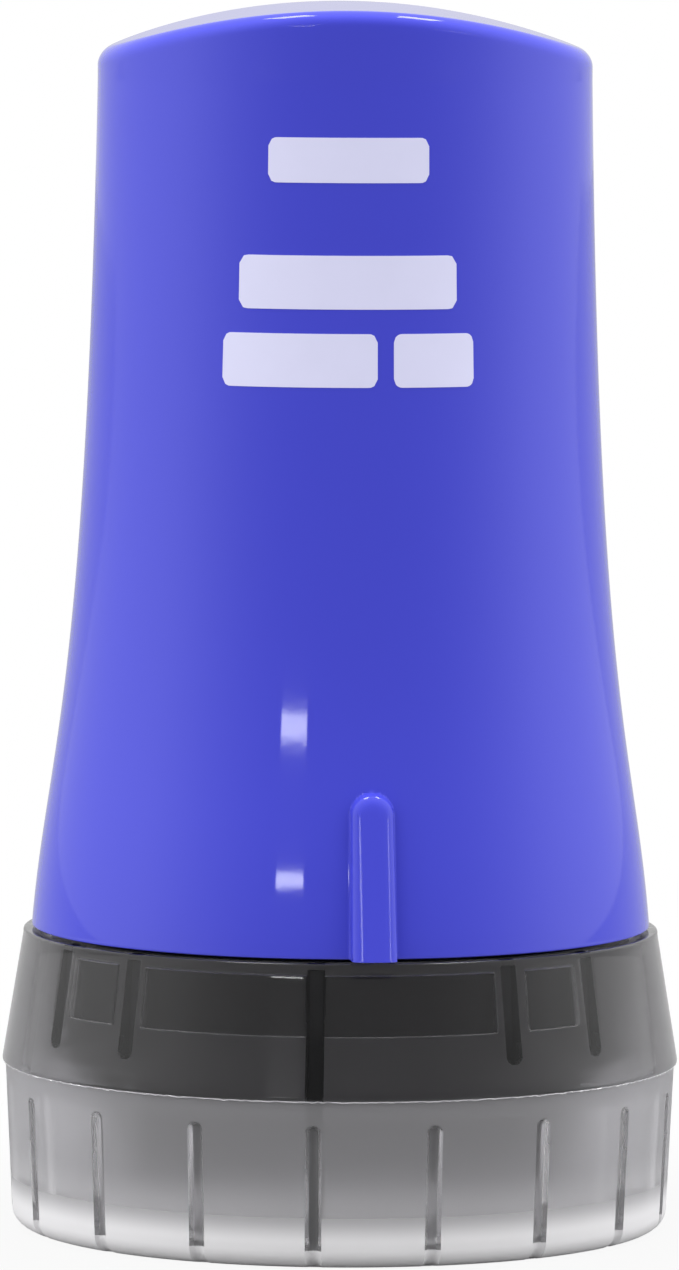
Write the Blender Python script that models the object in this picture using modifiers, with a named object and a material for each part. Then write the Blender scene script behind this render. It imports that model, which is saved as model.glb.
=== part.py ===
"""A roller stamp that masks printed addresses, standing on its cap.

A bell-shaped handle carries a cartridge: an inked foam roller feeds a rubber print roller,
which runs between two cheeks. A smoke-grey cap covers the rollers. Metres, +Z up, the front
of the handle at -Y, both rollers along X, and the origin under the middle of the cap.
"""

import math

import bmesh
import bpy
import numpy as np
from mathutils import Matrix, Vector

# Clearances
FIT = 0.0003  # between pieces that touch or run on each other
OVERRUN = 0.002  # how far a cutter passes the face it cuts
MERGE = 0.000003  # points nearer than this become one
SMOOTH_UNDER = math.radians(35)  # edges that bend less are shaded smooth

# Print roller
PRINT_RADIUS = 0.0095
PRINT_WIDTH = 0.032
RELIEF = 0.0005
SLEEVE_WALL = 0.0011
TYRE_WIDTH = 0.0021
HUB_RADIUS = 0.0032
CORE_POCKET_DEPTH = 0.006
RIM_WALL = 0.0013
AXLE_RADIUS = 0.0015
RELIEF_ROWS = 25
RELIEF_COLUMNS = 8
RELIEF_INSET_SHARE = 0.12
RELIEF_CYCLE = 5  # the pads repeat after so many places
RELIEF_STEPS = (2, 3)  # places moved on by one row, and by one column
RELIEF_RAISED = (0, 2, 3)  # the places in a cycle that hold a pad

# Ink roller
INK_RADIUS = 0.0062
FOAM_BORE = 0.0029
INK_AXLE_RADIUS = 0.0012
INK_FLANGE_THICKNESS = 0.001
INK_FLANGE_RADIUS = 0.0054

# Cheeks, bushes and clips
CHEEK_GAP = 0.0006  # from a tyre to the cheek beside it
CHEEK_THICKNESS = 0.0014
CHEEK_HALF_DEPTH = 0.0087
CHEEK_NOSE = 0.0065
CHEEK_CORNER = 0.0015
NOSE_STEPS = 10
BUSH_WALL = 0.0006
BUSH_FLANGE = 0.0008
BUSH_FLANGE_THICKNESS = 0.0005
CLIP_WIRE = 0.0003
CLIP_OPENING_SHARE = 0.2
CLIP_POINTS = 15
BEARING_HALF_WIDTH = 0.0023
BEARING_HALF_HEIGHT = 0.0025
SPRING_THICKNESS = 0.0004
SPRING_HALF_WIDTH = 0.0019
SPRING_FOLDS = 6

# Ink hood and lid
HOOD_AIR = 0.0005  # from the foam to the hood over it
ROLLER_AIR = 0.0006  # from the print roller to the hood beside it
HOOD_WALL = 0.0014
HOOD_FLANGE = 0.0017
LID_THICKNESS = 0.0015
LID_CORNER = 0.0035
TONGUE_HALF_WIDTH = 0.0067
TONGUE_HALF_DEPTH = 0.0037
TONGUE_HEIGHT = 0.0085
CRUSH_RIB_HALF_WIDTH = 0.0006
CRUSH_RIB_SHARE = 0.6  # of the clearance in the socket

# Collar
DECK_LIFT = 0.0007  # from the bush flange to the deck over it
DECK_THICKNESS = 0.0012
SKIRT_HEIGHT = 0.0024
COLLAR_LAND = 0.0003
COLLAR_WALL = 0.0011
COLLAR_LEDGE = 0.0004
PLUG_HEIGHT = 0.0045
COLLAR_ROUND = 0.0006

# Handle
HANDLE_HEIGHT = 0.0774
HANDLE_WALL = 0.0018
CROWN_RADIUS_SHARE = 0.796  # of the radius at the foot
FLANK_SHARES = ((1.0, 0.0), (0.765, 0.211), (0.164, 0.25), (0.0, 1.0))
ARCH_RADIUS = 0.0585
ARCH_TURN_DEGREES = -5.0  # from front to back to the line that the arch runs along
CROWN_ROUND = 0.0012
CEILING = 0.002
DOCK_THICKNESS = 0.0016
DOCK_STEP = 0.0008
GUSSET_DEPTH = 0.0028
SOCKET_WALL = 0.0014
RIB_FOOT_WIDTH = 0.0039
RIB_TOP_WIDTH = 0.0037
RIB_HEIGHT = 0.0135
RIB_FOOT_REACH = 0.0021
RIB_TOP_REACH = 0.0011
RIB_ROUND = 0.0005

# Cap
CAP_WALL = 0.0015
CAP_FLOOR = 0.0016
ROLLER_LIFT = 0.0016  # from the cap's floor to the print roller
RIM_OVER_SKIRT = 0.0109  # from the collar's lower edge to the cap's rim
CAP_LAND = 0.0007
CAP_FLARE = 0.00173
CAP_RIM_ROUND = 0.0004
SHOULDER_SHARE = 0.557  # of the cap's height
SHOULDER_STEP = 0.00025
CAP_TAPER = 0.00065
BASE_ROUND = 0.0015
GROOVES = 17
GROOVE_WIDTH = 0.0013
GROOVE_DEPTH = 0.0005
GROOVE_TOP_SHARE = 0.474
GRIP_RIB_WIDTH = 0.0013
GRIP_RIB_FOOT_SHARE = 0.653
GRIP_RIB_DROP = 0.0007  # from the rim to the top of a grip rib
GRIP_RIB_DEGREES = (36.6, 55.6, -36.6, -55.6)  # from the key rib, and from the point behind it
POCKET_DEPTH = 0.0003
POCKET_FOOT_SHARE = 0.757
POCKET_TOP_SHARE = 0.955
WIDE_POCKET_DEGREES = (-33.5, 33.5)
NARROW_POCKET_DEGREES = (40.0, 51.5)

# Facets
CAP_FACETS = 70
GROOVE_FACETS = 4  # from one groove to the next, which leaves a wider gap behind
HANDLE_FACETS = 48
ROLLER_FACETS = 28
SMALL_FACETS = 16
ARC_STEPS = 3
SMALL_ARC_STEPS = 2
RIB_END_POINTS = 8  # an even number, so that none lies on an edge of the cap's facets
FLANK_STEPS = 14
FLANK_FINE_STEPS = 60
CROWN_RINGS = 3
GROOVE_MERIDIANS = 10
GROOVE_RINGS = 6

# Sizes that follow from the ones above, from the rollers outwards
print_axis = CAP_FLOOR + ROLLER_LIFT + PRINT_RADIUS
ink_axis = print_axis + PRINT_RADIUS + FIT + INK_RADIUS
sleeve_bore = PRINT_RADIUS - RELIEF - SLEEVE_WALL
core_radius = sleeve_bore - FIT
tyre_start = PRINT_WIDTH / 2 + FIT
tyre_end = tyre_start + TYRE_WIDTH
cheek_inside = tyre_end + CHEEK_GAP
cheek_outside = cheek_inside + CHEEK_THICKNESS
bush_bore = AXLE_RADIUS + FIT
bush_radius = bush_bore + BUSH_WALL
bush_flange_radius = bush_radius + BUSH_FLANGE
bush_face = cheek_outside + FIT + BUSH_FLANGE_THICKNESS
clip_place = bush_face + FIT + CLIP_WIRE
axle_end = clip_place + 2 * CLIP_WIRE
hood_top = ink_axis + INK_RADIUS + HOOD_AIR + HOOD_WALL
lid_foot = hood_top + FIT
lid_top = lid_foot + LID_THICKNESS
tongue_top = lid_top + TONGUE_HEIGHT
deck_foot = print_axis + bush_flange_radius + DECK_LIFT
deck_top = deck_foot + DECK_THICKNESS
hood_foot = deck_top + FIT
hood_inside = math.sqrt((PRINT_RADIUS + ROLLER_AIR) ** 2 - (hood_foot - print_axis) ** 2)
hood_outside = hood_inside + HOOD_WALL
window_half_width = cheek_outside + FIT
window_half_depth = CHEEK_HALF_DEPTH + FIT
collar_bore = math.hypot(window_half_width, window_half_depth) + COLLAR_LAND
plug_radius = collar_bore + COLLAR_WALL
collar_radius = plug_radius + COLLAR_LEDGE
collar_foot = deck_foot - SKIRT_HEIGHT
cap_height = collar_foot + RIM_OVER_SKIRT
handle_foot = cap_height + FIT
plug_top = handle_foot + PLUG_HEIGHT
foot_radius = plug_radius + FIT + HANDLE_WALL
crown_radius = foot_radius * CROWN_RADIUS_SHARE
crest = handle_foot + HANDLE_HEIGHT
cap_rim_radius = foot_radius + CAP_LAND
shoulder_radius = cap_rim_radius + CAP_FLARE
shoulder_height = cap_height * SHOULDER_SHARE
pitch = math.tau * GROOVE_FACETS / CAP_FACETS
key_angle = -pitch / 2
dock_foot = tongue_top + FIT
dock_top = dock_foot + DOCK_THICKNESS

PARTS = "Roller stamp"
CUTTERS = "Cutters"


def clear_scene():
    for obj in list(bpy.data.objects):
        bpy.data.objects.remove(obj, do_unlink=True)
    for name in (PARTS, CUTTERS):
        bpy.context.scene.collection.children.link(bpy.data.collections.new(name))


def linear(red, green, blue):
    """A colour given as screen values from 0 to 255, as the linear values that a shader takes."""
    screen = np.array((red, green, blue)) / 255
    light = np.where(screen <= 0.04045, screen / 12.92, ((screen + 0.055) / 1.055) ** 2.4)
    return (*light.tolist(), 1.0)


def finish(name, colour, roughness, metallic=0.0, alpha=1.0):
    material = bpy.data.materials.new(name)
    material.use_nodes = True
    shader = material.node_tree.nodes["Principled BSDF"]
    shader.inputs["Base Color"].default_value = linear(*colour)
    shader.inputs["Roughness"].default_value = roughness
    shader.inputs["Metallic"].default_value = metallic
    shader.inputs["Alpha"].default_value = alpha
    return material


def add_object(name, mesh, material=None, collection=PARTS):
    obj = bpy.data.objects.new(name, mesh)
    bpy.data.collections[collection].objects.link(obj)
    if material:
        mesh.materials.append(material)
    if collection == CUTTERS:
        obj.hide_render = True
        obj.display_type = "WIRE"
    return obj


def pivot(name, place, parent=None):
    """An empty on a joint's axis, which carries the pieces that move with it."""
    empty = bpy.data.objects.new(name, None)
    bpy.data.collections[PARTS].objects.link(empty)
    carry(empty, place, parent)
    return empty


def world_place(obj):
    place = Vector(obj.location)
    while obj.parent:
        obj = obj.parent
        place += obj.location
    return place


def carry(obj, place, parent, turn=(0.0, 0.0, 0.0)):
    """Sets an object down at a place in the world and hangs it on its pivot."""
    obj.parent = parent
    obj.location = Vector(place) - (world_place(parent) if parent else Vector())
    obj.rotation_euler = turn
    return obj


def mesh_from(bm, name, smooth_under=SMOOTH_UNDER):
    bmesh.ops.recalc_face_normals(bm, faces=bm.faces)
    mesh = bpy.data.meshes.new(name)
    bm.to_mesh(mesh)
    bm.free()
    mesh.shade_smooth()
    mesh.set_sharp_from_angle(angle=smooth_under)
    return mesh


def applied(obj):
    """The object with its modifiers made part of its mesh."""
    graph = bpy.context.evaluated_depsgraph_get()
    mesh = bpy.data.meshes.new_from_object(obj.evaluated_get(graph))
    obj.modifiers.clear()
    obj.data = mesh
    return obj


def boolean(obj, tool, operation):
    modifier = obj.modifiers.new(tool.name, "BOOLEAN")
    modifier.operation = operation
    modifier.solver = "EXACT"
    modifier.object = tool


def turned(name, profile, material, facets=ROLLER_FACETS, collection=PARTS):
    """A body turned about Z. Its profile runs down the outer side; it is a loop, or ends on the axis."""
    mesh = bpy.data.meshes.new(name)
    points = [(radius, 0.0, height) for radius, height in profile]
    edges = [(i, i + 1) for i in range(len(points) - 1)]
    if min(radius for radius, _ in profile) > 0:
        edges.append((len(points) - 1, 0))
    mesh.from_pydata(points, edges, [])
    obj = add_object(name, mesh, material, collection)
    screw = obj.modifiers.new("Turn", "SCREW")
    screw.steps = facets
    screw.render_steps = facets
    screw.use_merge_vertices = True
    screw.merge_threshold = MERGE
    return obj


def ring_profile(inner, outer, half_length):
    return [(outer, half_length), (outer, -half_length), (inner, -half_length), (inner, half_length)]


def arc(centre, radius, start, end, steps=ARC_STEPS):
    """Points of an arc from one angle to another, in degrees, about a centre in the profile's plane."""
    angles = np.radians(np.linspace(start, end, steps + 1))
    return [(centre[0] + radius * math.cos(a), centre[1] + radius * math.sin(a)) for a in angles]


def across(name, profile, material, place, parent, facets=ROLLER_FACETS):
    """A turned piece whose axis lies along X; heights of its profile run towards +X."""
    obj = applied(turned(name, profile, material, facets))
    obj.data.shade_smooth()
    obj.data.set_sharp_from_angle(angle=SMOOTH_UNDER)
    return carry(obj, place, parent, (0.0, math.pi / 2, 0.0))


def prism(name, outline, thickness, material=None, collection=PARTS):
    """A flat outline in XY, extruded to a thickness about its middle plane."""
    bm = bmesh.new()
    base = bm.faces.new([bm.verts.new((x, y, -thickness / 2)) for x, y in outline])
    made = bmesh.ops.extrude_face_region(bm, geom=[base], use_keep_orig=True)["geom"]
    raised = [v for v in made if isinstance(v, bmesh.types.BMVert)]
    bmesh.ops.translate(bm, vec=(0.0, 0.0, thickness), verts=raised)
    return add_object(name, mesh_from(bm, name), material, collection)


def block(name, low, high, material=None, collection=PARTS):
    """A box between two corners."""
    bm = bmesh.new()
    bmesh.ops.create_cube(bm, size=1.0)
    size = Vector(high) - Vector(low)
    bmesh.ops.scale(bm, vec=size, verts=bm.verts)
    bmesh.ops.translate(bm, vec=(Vector(high) + Vector(low)) / 2, verts=bm.verts)
    return add_object(name, mesh_from(bm, name), material, collection)


def merged(name, pieces, collection=CUTTERS):
    """Several separate closed bodies held in one mesh, to cut or join together."""
    bm = bmesh.new()
    for piece in pieces:
        bm.from_mesh(piece.data)
        bpy.data.objects.remove(piece, do_unlink=True)
    return add_object(name, mesh_from(bm, name), None, collection)


def turn_about_z(obj, angle):
    obj.data.transform(Matrix.Rotation(angle, 4, "Z"))


def upright_rib(name, foot, top, foot_width, top_width, near, far, round_end, rounding=0.0):
    """A rib on the -Y side with one round end. near and far give its two faces' distance from Z."""
    sign = 1 if round_end == "top" else -1
    centre = top - top_width / 2 if sign > 0 else foot + foot_width / 2
    end_radius = (top_width if sign > 0 else foot_width) / 2
    flat_half, flat_z = (foot_width / 2, foot) if sign > 0 else (top_width / 2, top)
    angles = np.radians(np.linspace(0, 180, RIB_END_POINTS))
    outline = [(end_radius * math.cos(a), centre + sign * end_radius * math.sin(a)) for a in angles]
    outline += [(-flat_half, flat_z), (flat_half, flat_z)]
    bm = bmesh.new()
    back = bm.faces.new([bm.verts.new((x, 0.0, z)) for x, z in outline])
    made = bmesh.ops.extrude_face_region(bm, geom=[back])["geom"]
    front = [v for v in made if isinstance(v, bmesh.types.BMVert)]
    for vert in bm.verts:
        vert.co.y = -(far(vert.co.z) if vert in front else near(vert.co.z))
    if rounding:
        edges = [e for e in bm.edges if all(v in front for v in e.verts)]
        bmesh.ops.bevel(bm, geom=edges, offset=rounding, segments=SMALL_ARC_STEPS, affect="EDGES")
    return add_object(name, mesh_from(bm, name), None, CUTTERS)


def cap_radius(height):
    """The cap's outer radius: a flared upper band, then a lower band that stands back and tapers in."""
    if height >= shoulder_height:
        share = (height - shoulder_height) / (cap_height - shoulder_height)
        return shoulder_radius - CAP_FLARE * share
    return shoulder_radius - SHOULDER_STEP - CAP_TAPER * (1 - height / shoulder_height)


def cap_shell(material):
    """The smoke-grey cup: outer grooves to grip, and grip ribs and shallow pockets inside its rim."""
    inner_foot = cap_radius(0.0) - CAP_WALL
    corner = (inner_foot - BASE_ROUND, CAP_FLOOR + BASE_ROUND)
    rim = (cap_radius(cap_height) - CAP_RIM_ROUND, cap_height - CAP_RIM_ROUND)
    base = (cap_radius(0.0) - BASE_ROUND, BASE_ROUND)
    profile = [(0.0, CAP_FLOOR)] + arc(corner, BASE_ROUND, -90, 0, SMALL_ARC_STEPS)
    profile.append((shoulder_radius - SHOULDER_STEP - CAP_WALL, shoulder_height))
    profile.append((cap_rim_radius - CAP_WALL, cap_height))
    profile += arc(rim, CAP_RIM_ROUND, 90, 0, SMALL_ARC_STEPS)
    profile.append((shoulder_radius, shoulder_height))
    profile.append((shoulder_radius - SHOULDER_STEP, shoulder_height - SHOULDER_STEP))
    profile += arc(base, BASE_ROUND, 0, -90) + [(0.0, 0.0)]
    shell = turned("cap_shell", profile, material, CAP_FACETS)

    grooves = []
    radius = ((GROOVE_WIDTH / 2) ** 2 + GROOVE_DEPTH**2) / (2 * GROOVE_DEPTH)
    top = cap_height * GROOVE_TOP_SHARE
    lean = math.atan(CAP_TAPER / shoulder_height)
    for index in range(GROOVES):
        bm = bmesh.new()
        bmesh.ops.create_uvsphere(
            bm, u_segments=GROOVE_MERIDIANS, v_segments=GROOVE_RINGS, radius=radius
        )
        for vert in bm.verts:
            if vert.co.z < -MERGE:
                vert.co.z -= top + OVERRUN
        bmesh.ops.rotate(bm, matrix=Matrix.Rotation(lean, 3, "X"), verts=bm.verts)
        centre_z = top - radius
        reach = cap_radius(centre_z) - GROOVE_DEPTH + radius
        bmesh.ops.translate(bm, vec=(0.0, -reach, centre_z), verts=bm.verts)
        cutter = add_object(f"groove_{index}", mesh_from(bm, "groove"), None, CUTTERS)
        turn_about_z(cutter, key_angle + (index - GROOVES // 2) * pitch)
        grooves.append(cutter)

    pockets = []
    wall = cap_rim_radius - CAP_WALL
    foot = cap_height * POCKET_FOOT_SHARE
    top = cap_height * POCKET_TOP_SHARE
    left, right = NARROW_POCKET_DEGREES
    for start, end in (WIDE_POCKET_DEGREES, (left, right), (-right, -left)):
        for half_turn in (0, 180):
            bm = bmesh.new()
            angle = math.radians(start)
            sweep = math.radians(end - start)
            inner = wall - OVERRUN
            corners = [(inner, foot), (pocket_reach(foot), foot), (pocket_reach(top), top), (inner, top)]
            face = bm.faces.new([bm.verts.new((0.0, -r, z)) for r, z in corners])
            bmesh.ops.rotate(bm, matrix=Matrix.Rotation(angle, 3, "Z"), verts=bm.verts)
            steps = round(sweep / math.tau * CAP_FACETS)
            bmesh.ops.spin(bm, geom=[face], axis=(0, 0, 1), cent=(0, 0, 0), angle=sweep, steps=steps)
            cutter = add_object("pocket", mesh_from(bm, "pocket"), None, CUTTERS)
            turn_about_z(cutter, key_angle + math.radians(half_turn))
            pockets.append(cutter)
    boolean(shell, merged("pocket_cutters", pockets), "DIFFERENCE")

    ribs = []
    grip = collar_radius + FIT
    rib_foot = cap_height * GRIP_RIB_FOOT_SHARE
    half_turns = (key_angle, key_angle + math.pi)
    angles = [start + math.radians(turn) for start in half_turns for turn in GRIP_RIB_DEGREES]
    for angle in [key_angle] + angles:
        foot = CAP_FLOOR / 2 if angle == key_angle else rib_foot
        rib = upright_rib(
            "grip_rib",
            foot,
            cap_height - GRIP_RIB_DROP,
            GRIP_RIB_WIDTH,
            GRIP_RIB_WIDTH,
            lambda z: grip,
            lambda z: cap_radius(z) - CAP_WALL / 2,
            "foot",
        )
        turn_about_z(rib, angle)
        ribs.append(rib)
    boolean(shell, merged("grip_ribs", ribs), "UNION")
    boolean(shell, merged("groove_cutters", grooves), "DIFFERENCE")
    return shell


def pocket_reach(height):
    """The radius to which a pocket is sunk into the cap's inner wall at a height."""
    share = (height - shoulder_height) / (cap_height - shoulder_height)
    low = shoulder_radius - SHOULDER_STEP - CAP_WALL
    return low + (cap_rim_radius - CAP_WALL - low) * share + POCKET_DEPTH


def flank_points(steps=FLANK_STEPS):
    """The bell's flank from its foot up, on one Bezier curve of four points."""
    t = np.linspace(0, 1, steps + 1)[:, None]
    a, b, c, d = (np.array(share) for share in FLANK_SHARES)
    shares = a * (1 - t) ** 3 + 3 * b * t * (1 - t) ** 2 + 3 * c * t**2 * (1 - t) + d * t**3
    radius = crown_radius + shares[:, 0] * (foot_radius - crown_radius)
    height = handle_foot + shares[:, 1] * (flank_top - handle_foot)
    return radius, height


def handle_radius(height):
    radius, heights = flank_points(FLANK_FINE_STEPS)
    return float(np.interp(height, heights, radius))


def arch_drop(aside):
    """How far the arched crown lies under its crest, at a distance aside from the arch's middle line."""
    return ARCH_RADIUS - math.sqrt(ARCH_RADIUS**2 - aside * aside)


flank_top = crest - arch_drop(crown_radius) - 2 * CROWN_ROUND


def handle_shell(material):
    """The hollow bell: arched crown, concave flank, a seat for the dock and the thumb rib in front."""
    radius, height = flank_points()
    step = dock_top + FIT
    flank = list(zip(radius.tolist(), height.tolist()))[::-1]
    corner = (crown_radius - CROWN_ROUND, crest - CROWN_ROUND)
    rings = [(crown_radius * i / CROWN_RINGS, crest) for i in range(CROWN_RINGS)]
    outside = rings + arc(corner, CROWN_ROUND, 90, 0) + flank
    bore = plug_radius + FIT
    bore_top = plug_top + FIT
    low = [(bore, handle_foot), (bore, bore_top), (handle_radius(bore_top) - HANDLE_WALL, bore_top)]
    low += [(r - HANDLE_WALL, z) for r, z in flank[::-1] if bore_top + FIT < z < step - DOCK_STEP]
    low.append((handle_radius(step) - HANDLE_WALL, step))
    high = [(handle_radius(step) - HANDLE_WALL - DOCK_STEP, step)]
    high += [(r - HANDLE_WALL - DOCK_STEP, z) for r, z in flank[::-2] if step + DOCK_STEP < z < flank_top]
    inner_top = crown_radius - HANDLE_WALL - DOCK_STEP
    ceiling = crest - CEILING
    high += [(inner_top, flank_top), (inner_top, ceiling), (inner_top / 2, ceiling), (0.0, ceiling)]
    profile = outside + low + high
    bell = applied(turned("handle_shell", profile, material, HANDLE_FACETS))
    turn = math.radians(ARCH_TURN_DEGREES)
    for vert in bell.data.vertices:
        if vert.co.z > flank_top + FIT:
            vert.co.z -= arch_drop(vert.co.x * math.cos(turn) + vert.co.y * math.sin(turn))

    rib_top = handle_foot + RIB_HEIGHT
    rib_foot_radius = foot_radius + RIB_FOOT_REACH
    slope = (handle_radius(rib_top) + RIB_TOP_REACH - rib_foot_radius) / RIB_HEIGHT
    rib = upright_rib(
        "thumb_rib",
        handle_foot,
        rib_top,
        RIB_FOOT_WIDTH,
        RIB_TOP_WIDTH,
        lambda z: handle_radius(z) - HANDLE_WALL / 2,
        lambda z: rib_foot_radius + slope * (z - handle_foot),
        "top",
        RIB_ROUND,
    )
    boolean(bell, rib, "UNION")
    return bell


def handle_dock(material):
    """The plate inside the bell, with gussets round the socket that grips the cartridge's tongue."""
    radius = handle_radius(dock_top) - HANDLE_WALL - FIT
    edge = [(radius, dock_top), (radius, dock_foot)]
    plate = turned("handle_dock", [(0.0, dock_top)] + edge + [(0.0, dock_foot)], material, HANDLE_FACETS)
    half_x = TONGUE_HALF_WIDTH + FIT + SOCKET_WALL
    half_y = TONGUE_HALF_DEPTH + FIT + SOCKET_WALL
    foot = lid_top + FIT
    middle = (dock_foot + dock_top) / 2
    socket = block("socket", (-half_x, -half_y, foot), (half_x, half_y, middle), None, CUTTERS)
    arms = []
    half = SOCKET_WALL / 2
    low = (half_y - half, -half, dock_foot - GUSSET_DEPTH)
    high = (radius - DOCK_THICKNESS, half, middle)
    for angle in (0, 90, 180, 270):
        arm = block("gusset", low, high, None, CUTTERS)
        turn_about_z(arm, math.radians(angle))
        arms.append(arm)
    boolean(plate, socket, "UNION")
    boolean(plate, merged("gussets", arms), "UNION")
    half_x -= SOCKET_WALL
    half_y -= SOCKET_WALL
    low = (-half_x, -half_y, foot - OVERRUN)
    bore = block("socket_bore", low, (half_x, half_y, dock_foot), None, CUTTERS)
    boolean(plate, bore, "DIFFERENCE")
    return plate


def cartridge_collar(material):
    """The black ring under the bell: its plug sits inside the bell, and its deck frames the rollers."""
    profile = [
        (0.0, deck_top),
        (collar_bore, deck_top),
        (collar_bore, plug_top),
        (plug_radius - COLLAR_ROUND, plug_top),
        (plug_radius, plug_top - COLLAR_ROUND),
        (plug_radius, cap_height),
        (collar_radius, cap_height),
    ]
    corner = (collar_radius - COLLAR_ROUND, collar_foot + COLLAR_ROUND)
    profile += arc(corner, COLLAR_ROUND, 0, -90, SMALL_ARC_STEPS)
    profile += [(collar_bore, collar_foot), (collar_bore, deck_foot), (0.0, deck_foot)]
    collar = turned("cartridge_collar", profile, material, HANDLE_FACETS)
    low = (-window_half_width, -window_half_depth, deck_foot - OVERRUN)
    high = (window_half_width, window_half_depth, deck_top + OVERRUN)
    boolean(collar, block("roller_window", low, high, None, CUTTERS), "DIFFERENCE")
    return collar


def cheek(name, side, material):
    """A side plate of the cartridge: a round nose under the axle and a slot for the ink bearing."""
    rise = deck_foot - print_axis
    reach = math.hypot(CHEEK_HALF_DEPTH, rise)
    tangent = math.degrees(math.atan2(rise, CHEEK_HALF_DEPTH) - math.acos(CHEEK_NOSE / reach))
    nose = arc((0.0, print_axis), CHEEK_NOSE, tangent, -180 - tangent, NOSE_STEPS)
    outline = [(CHEEK_HALF_DEPTH, deck_foot)] + nose + [(-CHEEK_HALF_DEPTH, deck_foot)]
    outline += [(-CHEEK_HALF_DEPTH, hood_top - CHEEK_CORNER), (CHEEK_CORNER - CHEEK_HALF_DEPTH, hood_top)]
    slot = BEARING_HALF_WIDTH + FIT
    slot_foot = ink_axis - BEARING_HALF_HEIGHT - FIT
    outline += [(-slot, hood_top), (-slot, slot_foot), (slot, slot_foot), (slot, hood_top)]
    outline += [(CHEEK_HALF_DEPTH - CHEEK_CORNER, hood_top), (CHEEK_HALF_DEPTH, hood_top - CHEEK_CORNER)]
    plate = prism(name, outline, CHEEK_THICKNESS, material)
    stand_up(plate, side * (cheek_inside + cheek_outside) / 2)
    bm = bmesh.new()
    length = CHEEK_THICKNESS + 2 * OVERRUN
    bore = bush_radius + FIT
    bmesh.ops.create_cone(
        bm, cap_ends=True, segments=SMALL_FACETS, radius1=bore, radius2=bore, depth=length
    )
    bmesh.ops.rotate(bm, matrix=Matrix.Rotation(math.pi / 2, 3, "Y"), verts=bm.verts)
    middle = side * (cheek_inside + cheek_outside) / 2
    bmesh.ops.translate(bm, vec=(middle, 0.0, print_axis), verts=bm.verts)
    boolean(plate, add_object(name + "_bore", mesh_from(bm, name), None, CUTTERS), "DIFFERENCE")
    return plate


def stand_up(obj, x):
    """Turns a prism so that its outline's first size runs along Y and its second up, at a place on X."""
    turn = Matrix(((0, 0, 1, x), (1, 0, 0, 0), (0, 1, 0, 0), (0, 0, 0, 1)))
    obj.data.transform(turn)


def ink_hood(material):
    """The inverted channel over the foam roller, whose flanges rest on the collar's deck."""
    top_inside = hood_top - HOOD_WALL
    flange_top = hood_foot + HOOD_WALL
    corner = (hood_outside - HOOD_WALL, hood_top - HOOD_WALL)
    half = [
        (hood_inside, hood_foot),
        (hood_outside + HOOD_FLANGE, hood_foot),
        (hood_outside + HOOD_FLANGE, flange_top),
        (hood_outside, flange_top),
    ]
    half += arc(corner, HOOD_WALL, 0, 90)
    inner = [(-hood_inside, top_inside), (hood_inside, top_inside)]
    outline = half + [(-y, z) for y, z in half[::-1]] + inner
    hood = prism("ink_hood", outline, 2 * (cheek_inside - FIT), material)
    stand_up(hood, 0.0)
    return hood


def ink_lid(material):
    """The cartridge's cover, with the tongue that plugs into the dock and is gripped by its crush ribs."""
    outline = []
    half_x = cheek_outside
    half_y = hood_outside
    for sx, sy, start in ((1, 1, 0), (-1, 1, 90), (-1, -1, 180), (1, -1, 270)):
        centre = (sx * (half_x - LID_CORNER), sy * (half_y - LID_CORNER))
        outline += arc(centre, LID_CORNER, start, start + 90)
    lid = prism("ink_lid", outline, LID_THICKNESS, material)
    lid.data.transform(Matrix.Translation((0, 0, (lid_foot + lid_top) / 2)))
    x, y = TONGUE_HALF_WIDTH, TONGUE_HALF_DEPTH
    rib = CRUSH_RIB_HALF_WIDTH
    proud = FIT * CRUSH_RIB_SHARE
    right = [(x, -y), (x, -rib), (x + proud, -rib / 2), (x + proud, rib / 2), (x, rib), (x, y)]
    back = [(rib, y), (rib / 2, y + proud), (-rib / 2, y + proud), (-rib, y)]
    outline = right + back + [(-a, -b) for a, b in right] + [(-a, -b) for a, b in back]
    root = (lid_foot + lid_top) / 2
    tongue = prism("tongue", outline, tongue_top - root, None, CUTTERS)
    tongue.data.transform(Matrix.Translation((0, 0, (root + tongue_top) / 2)))
    boolean(lid, tongue, "UNION")
    return lid


def ink_bearing(name, side, material):
    """The sliding block in a cheek's slot that carries one end of the ink roller's axle."""
    low = (cheek_inside, -BEARING_HALF_WIDTH, ink_axis - BEARING_HALF_HEIGHT)
    high = (cheek_outside, BEARING_HALF_WIDTH, ink_axis + BEARING_HALF_HEIGHT)
    bearing = block(name, low, high, material)
    bm = bmesh.new()
    bore = INK_AXLE_RADIUS + FIT
    length = CHEEK_THICKNESS + 2 * OVERRUN
    bmesh.ops.create_cone(
        bm, cap_ends=True, segments=SMALL_FACETS, radius1=bore, radius2=bore, depth=length
    )
    bmesh.ops.rotate(bm, matrix=Matrix.Rotation(math.pi / 2, 3, "Y"), verts=bm.verts)
    bmesh.ops.translate(bm, vec=((cheek_inside + cheek_outside) / 2, 0.0, ink_axis), verts=bm.verts)
    boolean(bearing, add_object(name + "_bore", mesh_from(bm, name), None, CUTTERS), "DIFFERENCE")
    applied(bearing)
    turn_about_z(bearing, 0.0 if side > 0 else math.pi)
    return bearing


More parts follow.
